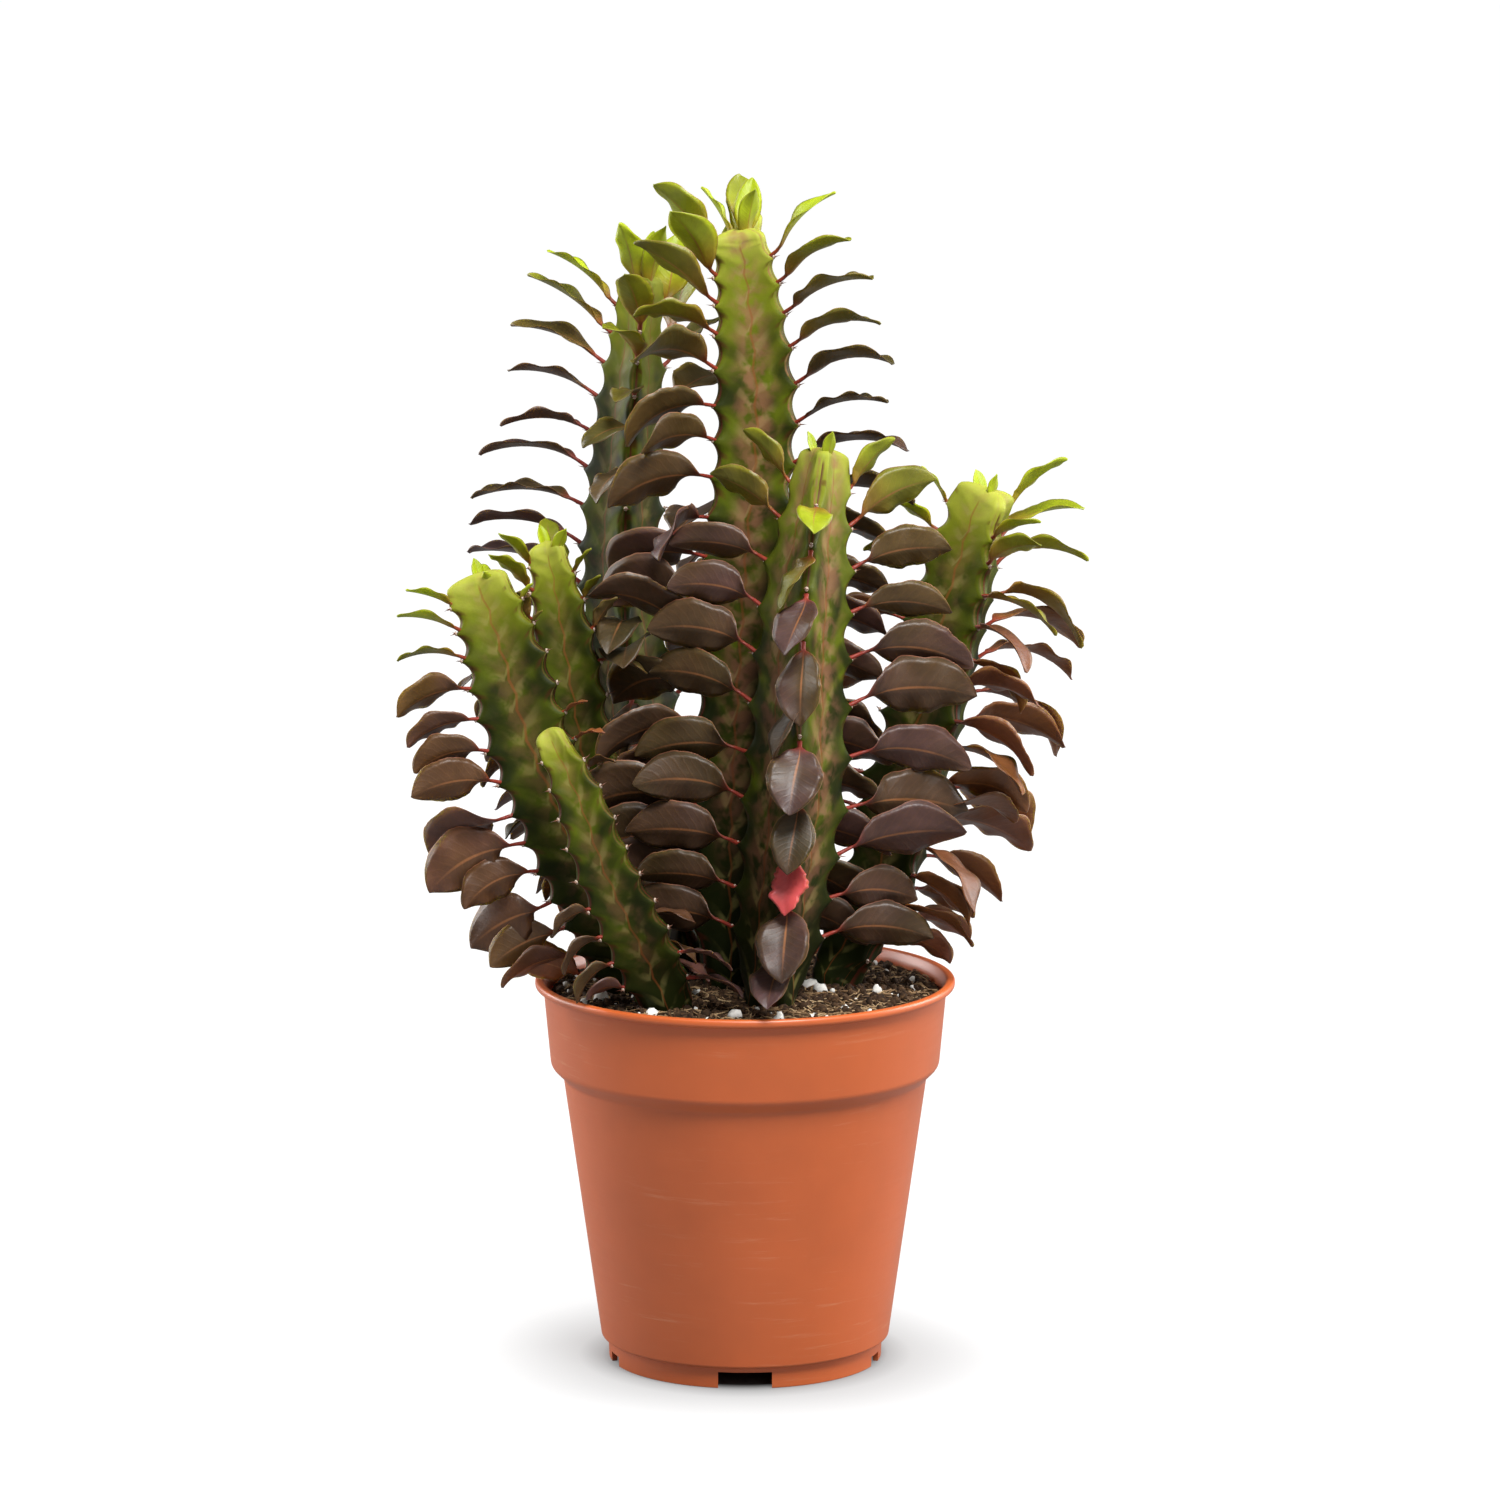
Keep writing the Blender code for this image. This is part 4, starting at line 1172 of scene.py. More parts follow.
def leaf_material():
    """A thin leathery blade, coloured by its age."""
    material, tree, shader, place = new_material("leathery_leaf")
    share, across, top = stored(tree, "leaf_place")
    age, draw, glow_and_damage = stored(tree, "leaf_tone")
    side = across.math("ABSOLUTE")
    young = step(age, 0.80, 0.95)
    grown = 1.0 - young
    # a leaf's own draw, more for the lowest leaves, and clouds: purple if high and olive if low
    kind = draw + (1.0 - step(age, 0.12, 0.32)) * 0.35 + (clouds(place, 34.0, 1.0) - 0.5)
    purple = step(kind, 0.60, 1.0) * grown
    olive = (1.0 - step(kind, 0.10, 0.50)) * grown
    # painted light: a copper glow, as of light shining through the blade from behind
    backlit_copper = step(glow_and_damage, 0.3, 0.7) * grown
    under = (1.0 - top) * (0.22 - young * 0.12)
    # side veins slant up from the midrib and wander a little
    slant = share * 46.0 - side * 7.0 + clouds(place, 160.0, 2.0) * 3.0
    veins = slant.math("SINE").math("ABSOLUTE").math("POWER", 12.0)
    rib = (1.0 - step(side, 0.015, 0.065)) * (1.0 - step(share, 0.50, 1.0))
    edge = step(side, 0.95, 1.0) * step(share, 0.2, 0.3)
    warm = (1.0 - step(share, 0.20, 0.65)) * young
    stalk = 1.0 - step(share, 0.13, 0.30)
    damage = step(glow_and_damage, 1.5, 2.0)
    colour = paint(ramp(age, LEAF_AGES), [
        (purple * 0.85, LEAF_PURPLE), (olive * 0.8, LEAF_OLIVE), (backlit_copper * 0.7, LEAF_BACKLIT_COPPER),
        (under, LEAF_UNDER), (veins * 0.04, LEAF_RIB), (rib * 0.70, LEAF_RIB),
        (edge * 0.7, LEAF_EDGE), (warm * 0.7, LEAF_WARM), (stalk * 0.9, LEAF_STALK),
        (damage, LEAF_DAMAGED)])
    colour, cloud = toned(colour, place, 90.0, 0.6)
    finish(shader, colour, between(cloud, 0.38, 0.52), 0.42, (0.15, (1.0, 0.8, 0.2), 0.002))
    roughen(shader, place, 300.0, 1800.0, 0.35, 0.0004, veins * 0.22)
    return material


leaf_skin = leaf_material()
print("material:", leaf_skin.name)

# %% [markdown]
# ## Fine leaves
# Every leaf is a closed blade: a row of points over the top, a row back under it, from the
# round stalk to the pointed tip. The blade folds up from the midrib, its edge waves a little,
# and it thins towards the edge. One mesh holds all the leaves of a stem.

# %% Numbers of the fine leaves
LEAF_COLUMNS = 9
FINE_STEPS = 4 * LEAF_STEPS
FINE_STATIONS = [i / FINE_STEPS for i in range(FINE_STEPS)] + [0.985]
BLADE_THICK = 0.00032
STALK_END = 0.30
STALK_ROOT = 0.0012
RIB_WIDTH = 0.0009
# the wave of a blade's edge and how sharply a fine blade narrows, with the widest value this gives
WAVE = 0.024
FINE_POINT = 0.92
FINE_WIDEST = 0.2615
# share of leaves with a full copper painted glow, as of light through the blade, the faint painted glow
# of the others, and how much younger they look
BACKLIT_COPPER = {"stem_right": (0.20, 0.52, 0.08), "stem_outer_left": (0.26, 0.43, 0.04)}
BACKLIT_COPPER_ELSEWHERE = (0.02, 0.36, 0.0)
BOX_MARGIN = 0.0002
# the damaged leaf is the one nearest this height, and shorter than its neighbours
DAMAGED_HEIGHT = 0.33
DAMAGED_SIZE = 0.62
# the share of a leaf over which its blade opens, and the share at which it is fully thin
BLADE_START = 0.12
THIN_FROM = 0.45
# millimetres by which the midrib is sunk in the top and stands out below
RIB_SUNK = 0.25
RIB_PROUD = 0.30
# waves along a leaf's edge, how ragged the edge is, and how far out of step the two edges wave
RIPPLES, RAGGED, RAGGED_DAMAGED, OUT_OF_STEP = (1.5, 4.0), (0.03, 0.14), 0.32, 1.5
# (share, how fine) of the noises that make an edge ragged, and how unlike the two edges are
EDGE_NOISES, EDGES_APART = [(1.0, 7.0), (0.35, 23.0)], 9.0
# how much thinner a blade is at its edge
THINNING = 0.92
# how much a leaf that leaves the box is shortened at a time
SHRINK = 0.985
print("sections of a fine leaf:", len(FINE_STATIONS))

# %% One fine leaf
def leaf_age(leaf, draw):
    """0 for the oldest leaf of a stem to 1 for the youngest."""
    return min(1.0, max(0.0, leaf["height"] + draw.uniform(-0.05, 0.05)))


def fine_leaf(leaf, draw, damaged, backlit_copper):
    """Points, faces and stored values of one leaf."""
    frames = leaf_line(leaf)
    phase = draw.uniform(0.0, ANY_TURN)
    ripples = draw.uniform(*RIPPLES)
    ragged = RAGGED_DAMAGED if damaged else draw.uniform(*RAGGED) * min(1.0, leaf["length"] / SHORT_LEAF)
    wave = WAVE * leaf["length"]
    backlit_share, backlit_faint, younger = backlit_copper
    # 2 marks the damaged leaf; otherwise the strength of the copper painted glow
    glow_and_damage = 2.0 if damaged else 1.0 if draw.random() < backlit_share else backlit_faint
    tone = (min(1.0, leaf_age(leaf, draw) + younger), draw.random(), glow_and_damage)
    points, place = [], []
    across_top = [-1.0 + 2.0 * k / (LEAF_COLUMNS - 1) for k in range(LEAF_COLUMNS)]
    across_under = across_top[-2:0:-1]
    for share in FINE_STATIONS:
        centre, side, up = frame_at(frames, share)
        blade = smooth((share - PETIOLE) / BLADE_START)
        half = blade_half(share, FINE_POINT, FINE_WIDEST) * leaf["width"] / 2
        if share < STALK_END:
            half = max(half, STALK_ROOT + (0.75 * PETIOLE_HALF - STALK_ROOT) * share / STALK_END)
        thick = PETIOLE_HALF + (BLADE_THICK - PETIOLE_HALF) * smooth(share / THIN_FROM)
        # each edge swells and shrinks a little on its own
        edges = [1.0 + ragged * blade * sum(
            part * noise.noise(Vector((fineness * share, EDGES_APART * sign, phase)))
            for part, fineness in EDGE_NOISES) for sign in (-1.0, 1.0)]
        for layer, columns in ((1.0, across_top), (0.0, across_under)):
            for t in columns:
                outwards = t * half * edges[int(t > 0)]
                fold = math.sqrt(outwards * outwards + RIB_WIDTH ** 2) - RIB_WIDTH
                ripple = math.sin(phase + ripples * ANY_TURN * share + (OUT_OF_STEP if t > 0 else 0.0))
                lift = BLADE_FOLD * blade * fold + wave * blade * t * t * ripple
                body = thick * math.sqrt(max(0.0, 1.0 - THINNING * t * t))
                ridge = blade * math.exp(-(outwards / RIB_WIDTH) ** 2)
                if layer:
                    lift += body - RIB_SUNK * MM * ridge
                else:
                    lift -= body + RIB_PROUD * MM * ridge
                points.append(centre + side * outwards + up * lift)
                place.append((share, t, layer))
    count = LEAF_COLUMNS + len(across_under)
    rings = len(FINE_STATIONS)
    faces = [face[::-1] for face in grid_faces(rings, count)]
    points.append(frames[-1][0])
    place.append((1.0, 0.0, 1.0))
    faces += [(b, a, tip) for a, b, tip in tip_fan((rings - 1) * count, count)] + [tuple(range(count))]
    return points, faces, place, [tone] * len(points)


tried = fine_leaf(leaves["stem_front"][0], random.Random(LEAF_SEED), False, BACKLIT_COPPER_ELSEWHERE)
print("points of a fine leaf:", len(tried[0]))

# %% All the fine leaves
def within_box(points):
    """Whether all the points lie in the box of the solids."""
    (low_x, low_y, _), (high_x, high_y, high_z) = solid_box
    return all(low_x + BOX_MARGIN < x < high_x - BOX_MARGIN
               and low_y + BOX_MARGIN < y < high_y - BOX_MARGIN
               and z < high_z - BOX_MARGIN for x, y, z in points)


def shorter(leaf, scale):
    """The same leaf at another size."""
    return {**leaf, "length": scale * leaf["length"], "width": scale * leaf["width"]}


def build_fine_leaves(stem, found, damaged_leaf):
    """All the leaves of a stem in one mesh."""
    backlit_copper = BACKLIT_COPPER.get(stem.name, BACKLIT_COPPER_ELSEWHERE)
    heap = Heap("leaf_place", "leaf_tone")
    for i, leaf in enumerate(found):
        if i == damaged_leaf:
            leaf = shorter(leaf, DAMAGED_SIZE)
        while True:
            made = fine_leaf(leaf, random.Random(LEAF_SEED + i), i == damaged_leaf, backlit_copper)
            if within_box(made[0]):
                break
            leaf = shorter(leaf, SHRINK)
        heap.add(*made)
    make_piece(stem.name + "_leaves", heap, leaf_skin, stem.name)
    return len(heap.faces)


def nearest_front_leaf(found):
    """The leaf on the front wing whose height is closest to the damaged one's."""
    front = [i for i, leaf in enumerate(found) if abs(leaf["start"][1]) < 30 and leaf["height"] < 0.9]
    return min(front, key=lambda i: abs(found[i]["height"] - DAMAGED_HEIGHT))


for stem in stems:
    found = leaves[stem.name]
    damaged = nearest_front_leaf(found) if stem.name == "stem_front" else -1
    print(stem.name, "leaf faces:", build_fine_leaves(stem, found, damaged))

# %% [markdown]
# ## Spines and horn
# Two short spines stand at each tooth, on a small pad of pale horn. They are thin cones, bent
# a little apart, and far too fine for the solids.

# %% Horn material
HORN_TONES = [(0.0, (0.42, 0.30, 0.22)), (0.3, (0.20, 0.07, 0.035)), (1.0, (0.05, 0.018, 0.010))]
HORN_PAD = (0.50, 0.38, 0.30)


def horn_colour(tree, _):
    """Brown spines that pale towards their pads."""
    along, _, on_pad = stored(tree, "horn_place")
    return paint(ramp(along, HORN_TONES), [(on_pad, HORN_PAD)])


horn = dull_material("dry_horn", horn_colour, (500.0, 0.5), 0.5, 0.5, (900.0, 3000.0, 0.3, 0.0002))
print("material:", horn.name)

# %% Spines
SPINE_LENGTH = 0.0032
SPINE_BASE = 0.00035
SPINE_SIDES = 5
# degrees by which a tooth's two spines lean apart, and the spread of their lean, rise and length
SPINE_SPREAD = 32.0
SPINE_LEAN, SPINE_RISE, SPINE_LENGTHS = (-10, 10), (0.0, 0.5), (0.6, 1.15)
# millimetres by which a pad stands out from the crest and above the middle of its tooth
ROOT_OUT, ROOT_UP = 0.1, 0.5
PAD_SIZE = 0.0009
# a pad's width and thickness as shares of its height
PAD_SHAPE = (1.0, 1.3, 0.6)


def ball(divisions, radius):
    """The points and faces of a low ball."""
    made = bmesh.new()
    bmesh.ops.create_icosphere(made, subdivisions=divisions, radius=radius)
    points = [v.co.copy() for v in made.verts]
    faces = [tuple(v.index for v in face.verts) for face in made.faces]
    made.free()
    return points, faces


def cone(root, direction, length, base):
    """A closed cone of a few sides."""
    side = direction.orthogonal().normalized()
    other = direction.cross(side)
    ring = [root + base * (math.cos(a) * side + math.sin(a) * other)
            for a in (TURN * k / SPINE_SIDES for k in range(SPINE_SIDES))]
    place = [(0.0, 0.0, 0.0)] * SPINE_SIDES + [(1.0, 0.0, 0.0)]
    return ring + [root + direction * length], tip_fan(0, SPINE_SIDES) + [disc(SPINE_SIDES)], place


def pad(root, direction):
    """A small lump of horn."""
    points, faces = ball(1, PAD_SIZE)
    turn = direction.to_track_quat("Z", "Y").to_matrix()
    points = [root + turn @ Vector([a * b for a, b in zip(point, PAD_SHAPE)]) for point in points]
    return points, faces, [(0.0, 0.0, 1.0)] * len(points)


print("points of a pad:", len(pad(Vector(), UP)[0]))

# %% Build the spines
def build_spines(stem):
    """A pad and two spines at each tooth of each wing."""
    heap = Heap("horn_place")
    for rib_index, one in enumerate(stem.spec["ribs"]):
        for tooth_index in range(len(stem.teeth)):
            run = stem.tooth(rib_index, tooth_index)
            if run is None:
                continue
            draw = random.Random(LEAF_SEED + 7 * rib_index + 31 * tooth_index)
            here, along = stem.place(run)
            out = stem.radial(run, one["azimuth"])
            across = along.cross(out)
            reach = stem.out_from(run, stem.wing(run)) + ROOT_OUT * MM
            root = here + out * reach + along * ROOT_UP * MM
            heap.add(*pad(root, out))
            for sign in (-1.0, 1.0):
                lean = math.radians(sign * (SPINE_SPREAD + draw.uniform(*SPINE_LEAN)))
                direction = (out * math.cos(lean) + across * math.sin(lean)
                             + along * draw.uniform(*SPINE_RISE))
                length = SPINE_LENGTH * draw.uniform(*SPINE_LENGTHS)
                heap.add(*cone(root, direction.normalized(), length, SPINE_BASE))
    make_piece(stem.name + "_spines", heap, horn, stem.name)
    return len(heap.faces)


print("spine faces:", sum(build_spines(stem) for stem in stems))

# %% [markdown]
# ## The pot
# A nursery pot is moulded in one shot of satin plastic. Its outline is turned about the pot's
# axis, with every corner rounded by a small arc. The notches in the foot ring and the drain
# holes are cut out afterwards, as in the solid, so both agree.

# %% Pot outline
POT_WALL = 0.0016
LIP_RADIUS = 0.0853
LIP_TALL = 0.0034
BAND_LOW_RADIUS = 0.0790
BAND_LOW_Z = 0.1235
BODY_TOP_RADIUS = 0.0736
BODY_TOP_Z = 0.1162
BODY_LOW_RADIUS = 0.0588
FLOOR_TOP_Z = 0.0094
FLOOR_UNDER_Z = 0.0076
FOOT_RADIUS = 0.0557
FOOT_RING = 0.0022
NOTCHES = 5
FRONT_NOTCH = (0.0217, 0.0068)
SIDE_NOTCH = (0.0095, 0.0042)
DRAIN_RADIUS = 0.0050
DRAIN_CIRCLE = 0.0440
POT_SEGMENTS = 120
ARC_STEPS = 4

# (radius, height, rounding) in metres, from the middle of the floor, over the lip, to below
POT_CORNERS = [
    (0.0, FLOOR_TOP_Z, 0.0),
    (BODY_LOW_RADIUS - POT_WALL - 0.0010, FLOOR_TOP_Z, 0.0030),
    (BODY_TOP_RADIUS - POT_WALL, BODY_TOP_Z, 0.0010),
    (BAND_LOW_RADIUS - POT_WALL, BAND_LOW_Z, 0.0020),
    (BAND_TOP_RADIUS - POT_WALL, POT_HEIGHT - LIP_TALL, 0.0015),
    (LIP_RADIUS - 3.3 * MM, POT_HEIGHT, 0.0009),
    (LIP_RADIUS, POT_HEIGHT, 0.0013),
    (LIP_RADIUS, POT_HEIGHT - 3.0 * MM, 0.0012),
    (BAND_TOP_RADIUS, POT_HEIGHT - LIP_TALL - 0.4 * MM, 0.0006),
    (BAND_LOW_RADIUS, BAND_LOW_Z - 0.0012, 0.0016),
    (BODY_TOP_RADIUS + 0.0004, BODY_TOP_Z + 0.0012, 0.0012),
    (BODY_LOW_RADIUS, FLOOR_TOP_Z, 0.0008),
    (FOOT_RADIUS + 0.4 * MM, FLOOR_TOP_Z - 0.0008, 0.0006),
    (FOOT_RADIUS, 0.0, 0.0004),
    (FOOT_RADIUS - FOOT_RING, 0.0, 0.0004),
    (FOOT_RADIUS - FOOT_RING, FLOOR_UNDER_Z, 0.0012),
    (0.0, FLOOR_UNDER_Z, 0.0),
]


print("corners of the pot:", len(POT_CORNERS))

# %% Round the corners and turn the outline
def rounded(corners):
    """The outline with an arc at each corner that asks for one."""
    outline = []
    for i, (radius, height, size) in enumerate(corners):
        here = Vector((radius, height))
        if not size:
            outline.append(here)
            continue
        before = (Vector(corners[i - 1][:2]) - here).normalized()
        after = (Vector(corners[i + 1][:2]) - here).normalized()
        for k in range(ARC_STEPS + 1):
            t = k / ARC_STEPS
            outline.append(here + size * ((1 - t) ** 2 * before + t ** 2 * after))
    return outline


def turned(name, outline):
    """A turned mesh of an open outline that ends on the axis."""
    profile = bpy.data.meshes.new(name)
    edges = [(i, i + 1) for i in range(len(outline) - 1)]
    profile.from_pydata([(r, 0.0, z) for r, z in outline], edges, [])
    piece = bpy.data.objects.new(name, profile)
    bpy.context.scene.collection.objects.link(piece)
    screw = piece.modifiers.new("turn", "SCREW")
    screw.steps = screw.render_steps = POT_SEGMENTS
    screw.use_merge_vertices = True
    screw.merge_threshold = 0.05 * MM
    return piece


def cut_away(piece, cutters):
    """Apply a piece's modifiers with the cutters taken out of it, then remove them."""
    hidden = bpy.data.collections.new("pot_cutters")
    for cutter in cutters:
        hidden.objects.link(cutter)
    boolean = piece.modifiers.new("cut", "BOOLEAN")
    boolean.operand_type = "COLLECTION"
    boolean.collection = hidden
    view = bpy.context.evaluated_depsgraph_get()
    mesh = bpy.data.meshes.new_from_object(piece.evaluated_get(view))
    piece.modifiers.clear()
    piece.data = mesh
    for cutter in cutters:
        bpy.data.objects.remove(cutter, do_unlink=True)
    bpy.data.collections.remove(hidden)


print("outline points:", len(rounded(POT_CORNERS)))

# %% [markdown]
# The plastic is a warm terracotta orange. It has a faint upright streakiness from the mould,
# a satin grain, and the pale rubs that a pot picks up on its way to the shop.

# %% Plastic material
PLASTIC = (0.600, 0.120, 0.024)
PLASTIC_RUBBED = (0.700, 0.300, 0.150)


def plastic_material():
    """Satin terracotta plastic with faint rubs."""
    material, tree, shader, place = new_material("terracotta_plastic")
    colour, _ = toned(PLASTIC, place, 14.0, 0.22)
    upright = feed(add(tree, "ShaderNodeMapping"), Vector=place, Scale=(0.6, 0.6, 9.0))
    streaks = clouds(wire(upright), 38.0, 6.0, Roughness=0.7)
    rubs = step(streaks, 0.54, 0.76) * step(clouds(place, 22.0, 3.0), 0.42, 0.64)
    colour = paint(colour, [(rubs * 0.62, PLASTIC_RUBBED)])
    finish(shader, colour, between(streaks, 0.34, 0.48), 0.80, (0.08, (1.0, 0.4, 0.2), 0.002))
    roughen(shader, place, 160.0, 1500.0, 0.12, 0.0004)
    return material


plastic = plastic_material()
print("material:", plastic.name)

# %% Pot
def round_places(count, radius, offset=0.0):
    """Angles and places evenly round the pot's axis."""
    turns = [math.radians(offset + 360.0 * i / count) for i in range(count)]
    return [(turn, Vector((radius * math.sin(turn), -radius * math.cos(turn), 0.0))) for turn in turns]


def build_pot():
    """The turned pot with its notches and drain holes cut out."""
    pot = turned("pot_shell", rounded(POT_CORNERS))
    cutters = []
    for turn, place in round_places(NOTCHES, FOOT_RADIUS):
        wide, tall = SIDE_NOTCH if turn else FRONT_NOTCH
        bpy.ops.mesh.primitive_cube_add(size=1.0, location=place + UP * (tall / 2 - MM),
                                        rotation=(0.0, 0.0, turn))
        bpy.context.object.scale = (wide, 10 * MM, tall + 2 * MM)
        cutters.append(bpy.context.object)
    for _, place in round_places(NOTCHES, DRAIN_CIRCLE, 36.0) + [(0.0, Vector())]:
        bpy.ops.mesh.primitive_cylinder_add(vertices=32, radius=DRAIN_RADIUS, depth=6 * MM,
                                            location=place + UP * (FLOOR_TOP_Z + FLOOR_UNDER_Z) / 2)
        cutters.append(bpy.context.object)
    cut_away(pot, cutters)
    pot.data.materials.append(plastic)
    pot.data.shade_smooth()
    pot.data.set_sharp_from_angle(angle=math.radians(35.0))
    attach(pot, "root")
    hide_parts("pot")
    return pot


pot = build_pot()
print("pot faces:", len(pot.data.polygons))

# %% [markdown]
# ## The soil
# Potting peat is dark crumbs with tan fibres and white grains of perlite. The bed is one
# surface raised by noise over a plug that fills the pot. Crumbs, fibres and perlite are real
# shapes scattered on it, because a bump map alone looks like painted card at this size.

# %% Peat material
PEAT_TONES = [(0.30, (0.012, 0.006, 0.003)), (0.50, (0.040, 0.020, 0.009)),
              (0.62, (0.095, 0.050, 0.022)), (0.75, (0.210, 0.125, 0.060))]
FIBRE_TONES = [(0.0, (0.090, 0.045, 0.020)), (0.5, (0.260, 0.150, 0.065)), (1.0, (0.520, 0.360, 0.190))]
PERLITE_WHITE = (0.78, 0.76, 0.71)


def peat_colour(_, place):
    """Dark damp peat, paler on its dry crumbs."""
    return ramp(clouds(place, 420.0, 5.0, Roughness=0.65), PEAT_TONES)


def fibre_colour(tree, _):
    """Dry tan fibres, some of them dark."""
    return ramp(stored(tree, "fibre_tone")[0], FIBRE_TONES)


def perlite_colour(*_):
    """White puffed glass."""
    return PERLITE_WHITE


peat = dull_material("damp_peat", peat_colour, (60.0, 0.5), 0.9, 0.25, (500.0, 2200.0, 0.9, 0.0012))
fibre = dull_material("peat_fibre", fibre_colour, (700.0, 0.5), 0.8, 0.5, (900.0, 3000.0, 0.4, 0.0003))
white_grain = dull_material("perlite", perlite_colour, (420.0, 0.3), 0.75, 0.5,
                            (700.0, 2600.0, 0.7, 0.0006))
print("materials:", peat.name, fibre.name, white_grain.name)

# %% Soil bed
GAP = 0.0003
SOIL_TOP_Z = 0.1542
SOIL_EDGE_Z = 0.1520
SOIL_SEED = 17
BED_RINGS = 70
BED_SPOKES = 200
LUMP = 0.0016
# (share, how fine) of the noises that make the bed rough
BED_NOISES = [(0.6, 90.0), (0.5, 260.0), (0.4, 700.0)]
EDGE_RADIUS = BAND_TOP_RADIUS - POT_WALL - 0.0016
# (radius, height) of the plug under the bed's edge
PLUG_RINGS = [
    (BAND_LOW_RADIUS - POT_WALL - GAP, BAND_LOW_Z),
    (BODY_TOP_RADIUS - POT_WALL - 0.0006, BODY_TOP_Z),
    (BODY_LOW_RADIUS - POT_WALL - 0.0025, FLOOR_TOP_Z + 0.0006),
]


def bed_height(x, y):
    """The height of the soil's crumbly surface."""
    share = min(1.0, math.hypot(x, y) / EDGE_RADIUS)
    level = SOIL_TOP_Z + (SOIL_EDGE_Z - SOIL_TOP_Z) * share ** 2
    rough = sum(part * noise.noise(Vector((x, y, 0.0)) * fineness) for part, fineness in BED_NOISES)
    return level + LUMP * rough


def bed_ring(radius, height=None):
    """Points round the bed, at one height or on its rough surface."""
    places = [(radius * math.cos(turn), radius * math.sin(turn))
              for turn in (TURN * k / BED_SPOKES for k in range(BED_SPOKES))]
    return [Vector((x, y, bed_height(x, y) if height is None else height)) for x, y in places]


print("height of the bed's middle:", round(bed_height(0.0, 0.0), 4))

# %% Build the soil bed
def build_bed():
    """A closed plug of soil with a rough top."""
    points = [Vector((0.0, 0.0, bed_height(0.0, 0.0)))]
    for r in range(1, BED_RINGS + 1):
        points += bed_ring(EDGE_RADIUS * r / BED_RINGS)
    for radius, height in PLUG_RINGS:
        points += bed_ring(radius, height)
    rings = BED_RINGS + len(PLUG_RINGS)
    faces = [(0, 1 + k, 1 + (k + 1) % BED_SPOKES) for k in range(BED_SPOKES)]
    faces += [tuple(1 + k for k in face[::-1]) for face in grid_faces(rings, BED_SPOKES)]
    faces.append(disc(BED_SPOKES, 1 + (rings - 1) * BED_SPOKES))
    heap = Heap()
    heap.add(points, faces)
    return make_piece("soil_bed", heap, peat, "soil")


bed = build_bed()
print("soil faces:", len(bed.data.polygons))

# %% [markdown]
# The loose matter is scattered with seeded draws. A spot inside a stem is drawn again, and
# each grain is pressed a little into the bed, so none floats.

# %% Crumbs and perlite
CRUMBS = 1500
PERLITE = 125
# a grain's spread of stretch, how deep it is pressed in, and how strong and fine its dents are
GRAIN_STRETCH, GRAIN_RAISED, GRAIN_DENT, GRAIN_NOISE = (0.6, 1.2), 0.25, 0.45, 1.3


def free_spot(draw):
    """A place on the bed outside every stem's foot."""
    feet = [Vector(spec["path"][0]) * MM for spec in STEMS.values()]
    while True:
        turn = draw.uniform(0.0, TURN)
        radius = (EDGE_RADIUS - 2 * MM) * math.sqrt(draw.random())
        x, y = radius * math.cos(turn), radius * math.sin(turn)
        if all(math.hypot(x - foot.x, y - foot.y) > PEG_RADIUS + MM for foot in feet):
            return x, y


def lumps(name, count, smallest, largest, divisions, material, seed):
    """A scatter of irregular grains in one mesh."""
    draw = random.Random(seed)
    shape, sides = ball(divisions, 1.0)
    heap = Heap()
    for _ in range(count):
        x, y = free_spot(draw)
        size = smallest + (largest - smallest) * draw.random() ** 2
        stretch = Vector([draw.uniform(*GRAIN_STRETCH) for _ in range(3)])
        turn = (Matrix.Rotation(draw.uniform(0, ANY_TURN), 3, "Z")
                @ Matrix.Rotation(draw.uniform(0, ANY_TURN), 3, "X"))
        centre = Vector((x, y, bed_height(x, y) + GRAIN_RAISED * size))
        shift = Vector([draw.uniform(0, 50) for _ in range(3)])
        grain = []
        for corner in shape:
            push = 1.0 + GRAIN_DENT * noise.noise(corner * GRAIN_NOISE + shift)
            grain.append(centre + turn @ (corner * stretch * size * push))
        heap.add(grain, sides)
    return make_piece(name, heap, material, "soil")


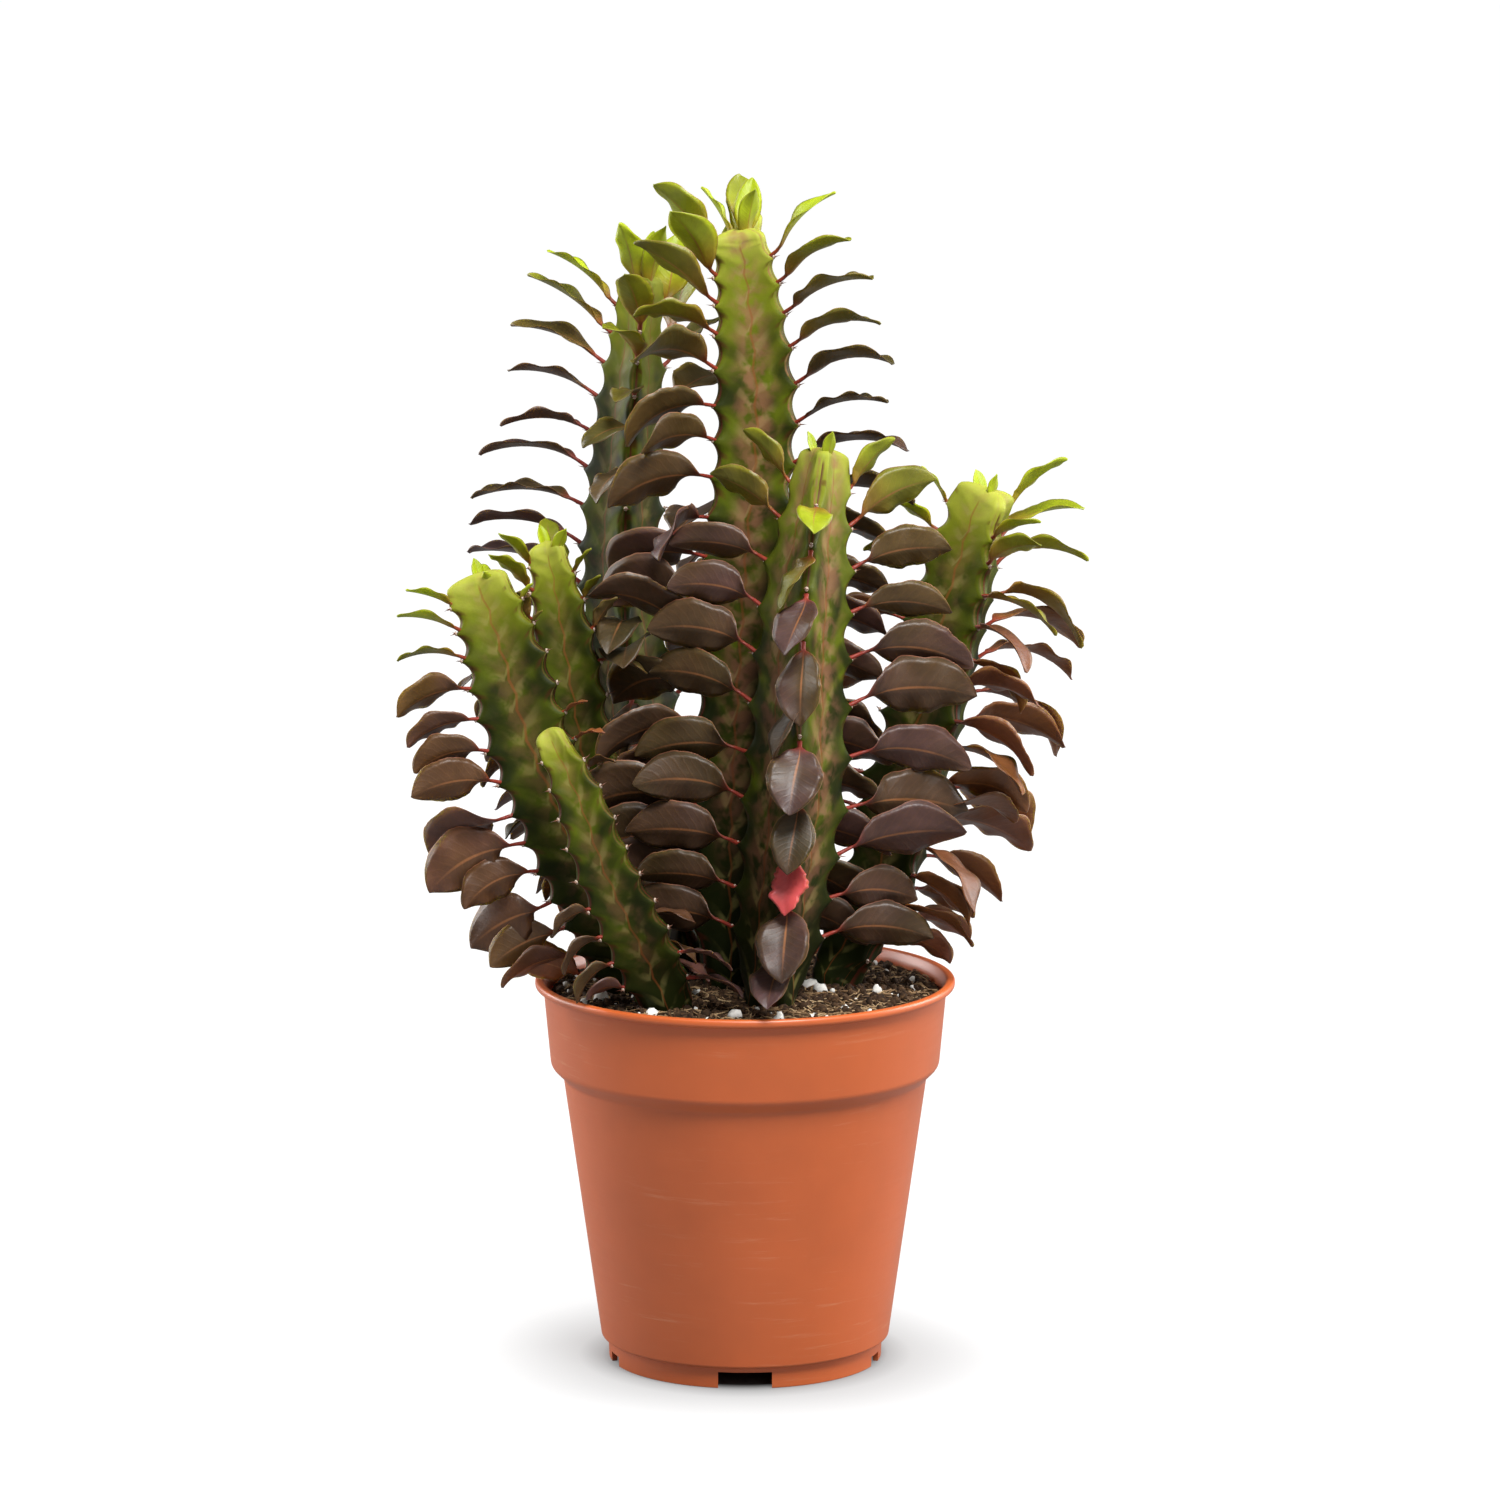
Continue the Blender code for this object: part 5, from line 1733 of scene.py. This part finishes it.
lumps("soil_crumbs", CRUMBS, 0.0006, 0.0026, 1, peat, SOIL_SEED)
lumps("soil_perlite", PERLITE, 0.0006, 0.0035, 2, white_grain, SOIL_SEED + 1)
print("crumbs and perlite:", CRUMBS, PERLITE)

# %% Fibres
FIBRES = 1500
FIBRE_SIDES = 3
FIBRE_STEPS = 5
# spread of a fibre's length and half thickness in metres, curl in radians and rise in millimetres
FIBRE_LENGTH = (0.003, 0.013)
FIBRE_THICK = (0.00012, 0.00040)
FIBRE_CURL = (-1.6, 1.6)
FIBRE_LIFT = (0.0, 0.9)


def build_fibres():
    """Short bent strands that lie on the peat."""
    draw = random.Random(SOIL_SEED + 2)
    heap = Heap("fibre_tone")
    faces = grid_faces(FIBRE_STEPS + 1, FIBRE_SIDES) + [
        disc(FIBRE_SIDES), disc(FIBRE_SIDES, FIBRE_STEPS * FIBRE_SIDES)[::-1]]
    for _ in range(FIBRES):
        x, y = free_spot(draw)
        turn = draw.uniform(0.0, ANY_TURN)
        length = draw.uniform(*FIBRE_LENGTH)
        thick = draw.uniform(*FIBRE_THICK)
        curl = draw.uniform(*FIBRE_CURL)
        lift = draw.uniform(*FIBRE_LIFT) * MM
        tone = (draw.random(), 0.0, 0.0)
        points = []
        for i in range(FIBRE_STEPS + 1):
            share = i / FIBRE_STEPS
            heading = turn + curl * share
            x += math.cos(heading) * length / FIBRE_STEPS
            y += math.sin(heading) * length / FIBRE_STEPS
            near = max(1.0, math.hypot(x, y) / EDGE_RADIUS)
            x, y = x / near, y / near
            centre = Vector((x, y, bed_height(x, y) + 0.3 * MM + lift * math.sin(math.pi * share)))
            across = Vector((-math.sin(heading), math.cos(heading), 0.0))
            for k in range(FIBRE_SIDES):
                angle = TURN * k / FIBRE_SIDES
                points.append(centre + thick * (math.cos(angle) * across + math.sin(angle) * UP))
        heap.add(points, faces, [tone] * len(points))
    return make_piece("soil_fibres", heap, fibre, "soil")


build_fibres()
print("fibres:", FIBRES)

# %% [markdown]
# ## The box of the solids
# The leaves are shortened where they would leave the box of the solids, and the box is printed.

# %% Finish
print("solids:", solid_box)
